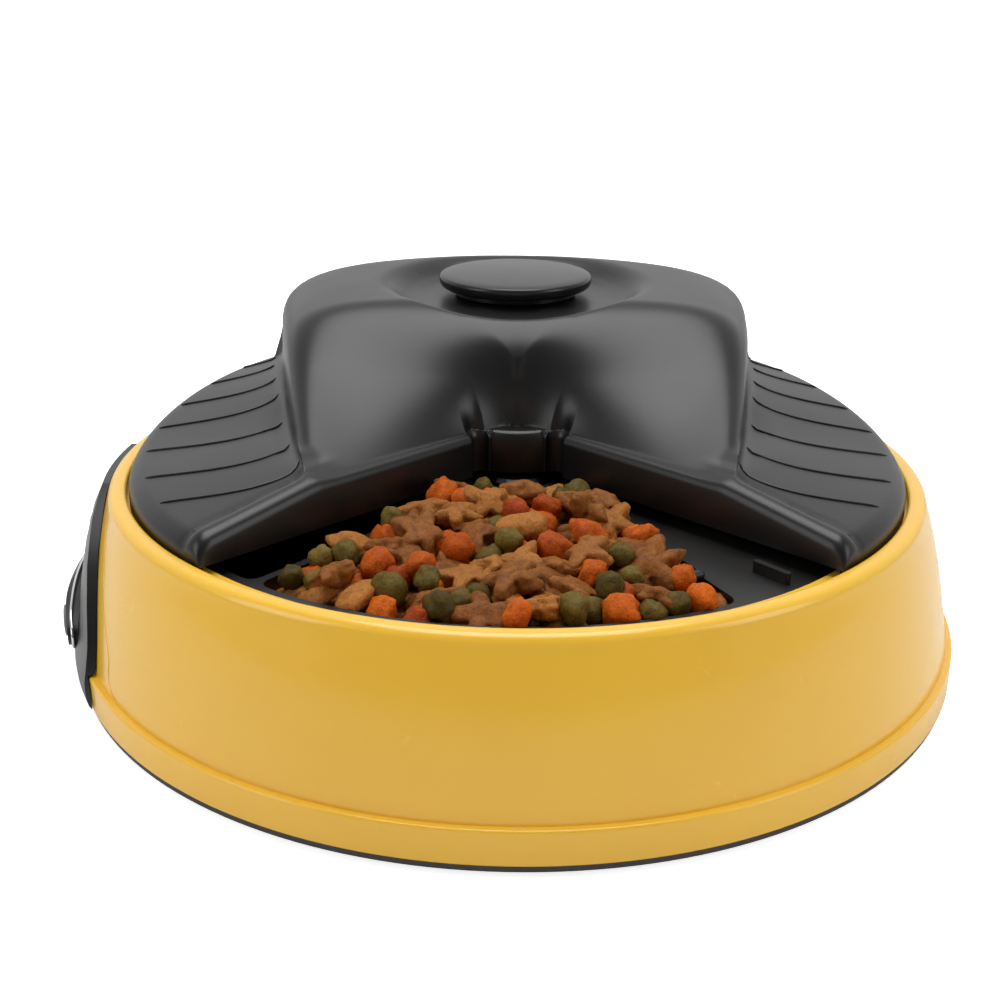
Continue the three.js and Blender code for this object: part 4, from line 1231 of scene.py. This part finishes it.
def heap_top(x, y):
    """How high the food may be heaped over the tray at a place."""
    radius = math.hypot(x, y)
    return 69.0 + 8.0 * math.exp(-((radius - 58) / 32) ** 2)


def drop(placed_food, radius, tries=26):
    """The lowest resting place found for one more piece, or None when the heap is full."""
    best = None
    for _ in range(tries):
        azimuth = draw.uniform(FIRST_DIVIDER, FIRST_DIVIDER + WELL_PITCH + 6)
        distance = math.sqrt(draw.uniform(WELL_INNER ** 2, WELL_OUTER ** 2))
        x, y = polar(distance, azimuth)
        if not in_well(x, y, radius * 0.9):
            continue
        z = WELL_FLOOR_Z + radius
        for px, py, pz, other in placed_food:
            reach = (radius + other) * 0.86
            away = math.hypot(px - x, py - y)
            if away < reach:
                z = max(z, pz + math.sqrt(reach ** 2 - away ** 2) * 0.92)
        if z + radius < heap_top(x, y) and (best is None or z < best[2]):
            best = (x, y, z)
    return best


def fill_well():
    kinds = ["round", "olive", "star", "bone"]
    sizes = {"round": 5.8, "olive": 4.9, "star": 5.6, "bone": 5.2}
    weights = [0.29, 0.21, 0.38, 0.12]
    heap = []
    misses = 0
    while misses < 40 and len(heap) < 420:
        kind = draw.choices(kinds, weights)[0]
        radius = sizes[kind] * draw.uniform(0.76, 1.08)
        place = drop([item[1] for item in heap], radius)
        if place is None:
            misses += 1
            continue
        heap.append((kind, (*place, radius), radius / sizes[kind]))
    return heap


heap = fill_well()
print("pieces of food:", len(heap))


# %% Build the food
def food_mesh(name, kinds):
    """Joins every piece of these kinds in one mesh, with a tone for each piece in an attribute."""
    shapes = {kind: [kibble_shape(kind, seed) for seed in range(1, 6)] for kind in kinds}
    points, faces, tones = [], [], []
    for kind, (x, y, z, _), scale in heap:
        if kind not in kinds:
            continue
        shape = draw.choice(shapes[kind])
        tilt = 0.5 if kind in ("star", "bone") else 3.1
        turn = Matrix.Rotation(draw.uniform(-tilt, tilt), 3, "X")
        turn = turn @ Matrix.Rotation(draw.uniform(-tilt, tilt), 3, "Y")
        turn = turn @ Matrix.Rotation(draw.uniform(0, 6.28), 3, "Z")
        first = len(points)
        centre = Vector((x, y, z))
        tone = draw.random()
        for vertex in shape.vertices:
            points.append((centre + turn @ (vertex.co * scale)) * MM)
            tones.append(tone)
        faces += [tuple(first + i for i in face.vertices) for face in shape.polygons]
    piece = mesh_piece(name, points, faces)
    attribute = piece.data.attributes.new("tone", "FLOAT", "POINT")
    attribute.data.foreach_set("value", tones)
    for face in piece.data.polygons:
        face.use_smooth = True
    return piece


def food_finish(name, dark, light, fleck):
    """Baked dough: a tone per piece, mottled by noise, with pores and crumbs."""
    material, nodes, links, shader = new_material(name)
    shader.inputs["Specular IOR Level"].default_value = 0.2
    place = nodes.new("ShaderNodeTexCoord").outputs["Object"]
    tone = nodes.new("ShaderNodeAttribute")
    tone.attribute_name = "tone"
    mottle = noise_node(nodes, links, place, 420.0, 5.0)
    mixed = math_node(nodes, links, "MULTIPLY_ADD", mottle, 1.5, -0.5)
    mixed = math_node(nodes, links, "ADD", mixed, tone.outputs["Fac"])
    mixed = math_node(nodes, links, "MULTIPLY", mixed, 0.62)
    ramp = nodes.new("ShaderNodeValToRGB")
    ramp.color_ramp.elements[0].color = dark
    ramp.color_ramp.elements[1].color = light
    ramp.color_ramp.elements[0].position = 0.1
    ramp.color_ramp.elements[1].position = 0.9
    links.new(mixed, ramp.inputs["Fac"])
    flecks = noise_node(nodes, links, place, 1500.0, 2.0)
    spotted = math_node(nodes, links, "GREATER_THAN", flecks, 0.64)
    spotted = math_node(nodes, links, "MULTIPLY", spotted, 0.6)
    flecked = mix_colour(nodes, links, spotted, ramp.outputs["Color"], fleck)
    links.new(flecked, shader.inputs["Base Color"])
    rough = math_node(nodes, links, "MULTIPLY_ADD", mottle, 0.3, 0.45)
    links.new(rough, shader.inputs["Roughness"])
    crumb = noise_node(nodes, links, place, 900.0, 6.0)
    pores = nodes.new("ShaderNodeTexVoronoi")
    pores.inputs["Scale"].default_value = 1100.0
    links.new(place, pores.inputs["Vector"])
    pits = math_node(nodes, links, "MINIMUM", pores.outputs["Distance"], 0.35)
    relief_node(nodes, links, math_node(nodes, links, "ADD", crumb, pits), 0.5 * MM, 0.8)
    return material


ORANGE_FOOD = food_finish("orange_food", srgb(146, 54, 2), srgb(214, 104, 10), srgb(100, 36, 4))
OLIVE_FOOD = food_finish("olive_food", srgb(68, 56, 14), srgb(124, 104, 40), srgb(44, 35, 12))
TAN_FOOD = food_finish("tan_food", srgb(112, 62, 18), srgb(182, 118, 52), srgb(74, 40, 12))
for name, kinds, material in (
    ("food_orange", ["round"], ORANGE_FOOD),
    ("food_olive", ["olive"], OLIVE_FOOD),
    ("food_tan", ["star", "bone"], TAN_FOOD),
):
    hand_over(food_mesh(name, kinds), material, "tray", "tray_black")

# %% [markdown]
# ## Floor and light
# The floor is one pale sheet. The light is soft: a surround that is bright behind the feeder and dim in
# front, a wide panel above, and one on each side for the highlights on the ring and the hump's corners.


# %% Stage
def make_floor():
    deselect()
    low = CAD_BOX[0][2]
    bpy.ops.mesh.primitive_plane_add(size=60, location=(0, 0, low))
    floor = bpy.context.active_object
    floor.name = "pale_floor"
    material, nodes, links, shader = new_material("pale_floor")
    shader.inputs["Base Color"].default_value = (0.92, 0.92, 0.92, 1)
    shader.inputs["Roughness"].default_value = 0.9
    shader.inputs["Emission Color"].default_value = (1, 1, 1, 1)
    seen = nodes.new("ShaderNodeLightPath").outputs["Is Camera Ray"]
    links.new(math_node(nodes, links, "MULTIPLY", seen, 0.8), shader.inputs["Emission Strength"])
    floor.data.materials.append(material)


def softbox(name, place, aim, size, watts, tall=None):
    data = bpy.data.lights.new(name, "AREA")
    data.shape = "RECTANGLE"
    data.size = size
    data.size_y = tall or size
    data.energy = watts
    light = bpy.data.objects.new(name, data)
    bpy.context.scene.collection.objects.link(light)
    light.location = place
    light.rotation_euler = (Vector(aim) - Vector(place)).to_track_quat("-Z", "Y").to_euler()


make_floor()
softbox("overhead", (0, 0.1, 1.3), (0, 0, 0.05), 0.9, 11.0)
softbox("left_box", (-1.1, -0.55, 0.6), (0, 0, 0.06), 0.6, 3.5, 0.8)
softbox("right_box", (1.1, -0.55, 0.6), (0, 0, 0.06), 0.6, 3.5, 0.8)


def make_surround():
    """White where the camera looks past the object. As a light, bright behind it and dim in front."""
    world = bpy.data.worlds.new("surround")
    world.use_nodes = True
    nodes, links = world.node_tree.nodes, world.node_tree.links
    background = nodes["Background"]
    split = nodes.new("ShaderNodeSeparateXYZ")
    links.new(nodes.new("ShaderNodeTexCoord").outputs["Generated"], split.inputs[0])
    rear = nodes.new("ShaderNodeMapRange")
    rear.interpolation_type = "SMOOTHSTEP"
    rear.inputs["From Min"].default_value = -0.4
    rear.inputs["From Max"].default_value = 0.9
    rear.inputs["To Min"].default_value = 0.18
    rear.inputs["To Max"].default_value = 0.85
    links.new(split.outputs["Y"], rear.inputs["Value"])
    seen = nodes.new("ShaderNodeLightPath").outputs["Is Camera Ray"]
    strength = math_node(nodes, links, "MAXIMUM", rear.outputs[0], seen)
    links.new(strength, background.inputs["Strength"])
    background.inputs["Color"].default_value = (1, 1, 1, 1)
    bpy.context.scene.world = world


make_surround()
bpy.context.scene.view_settings.view_transform = "Standard"
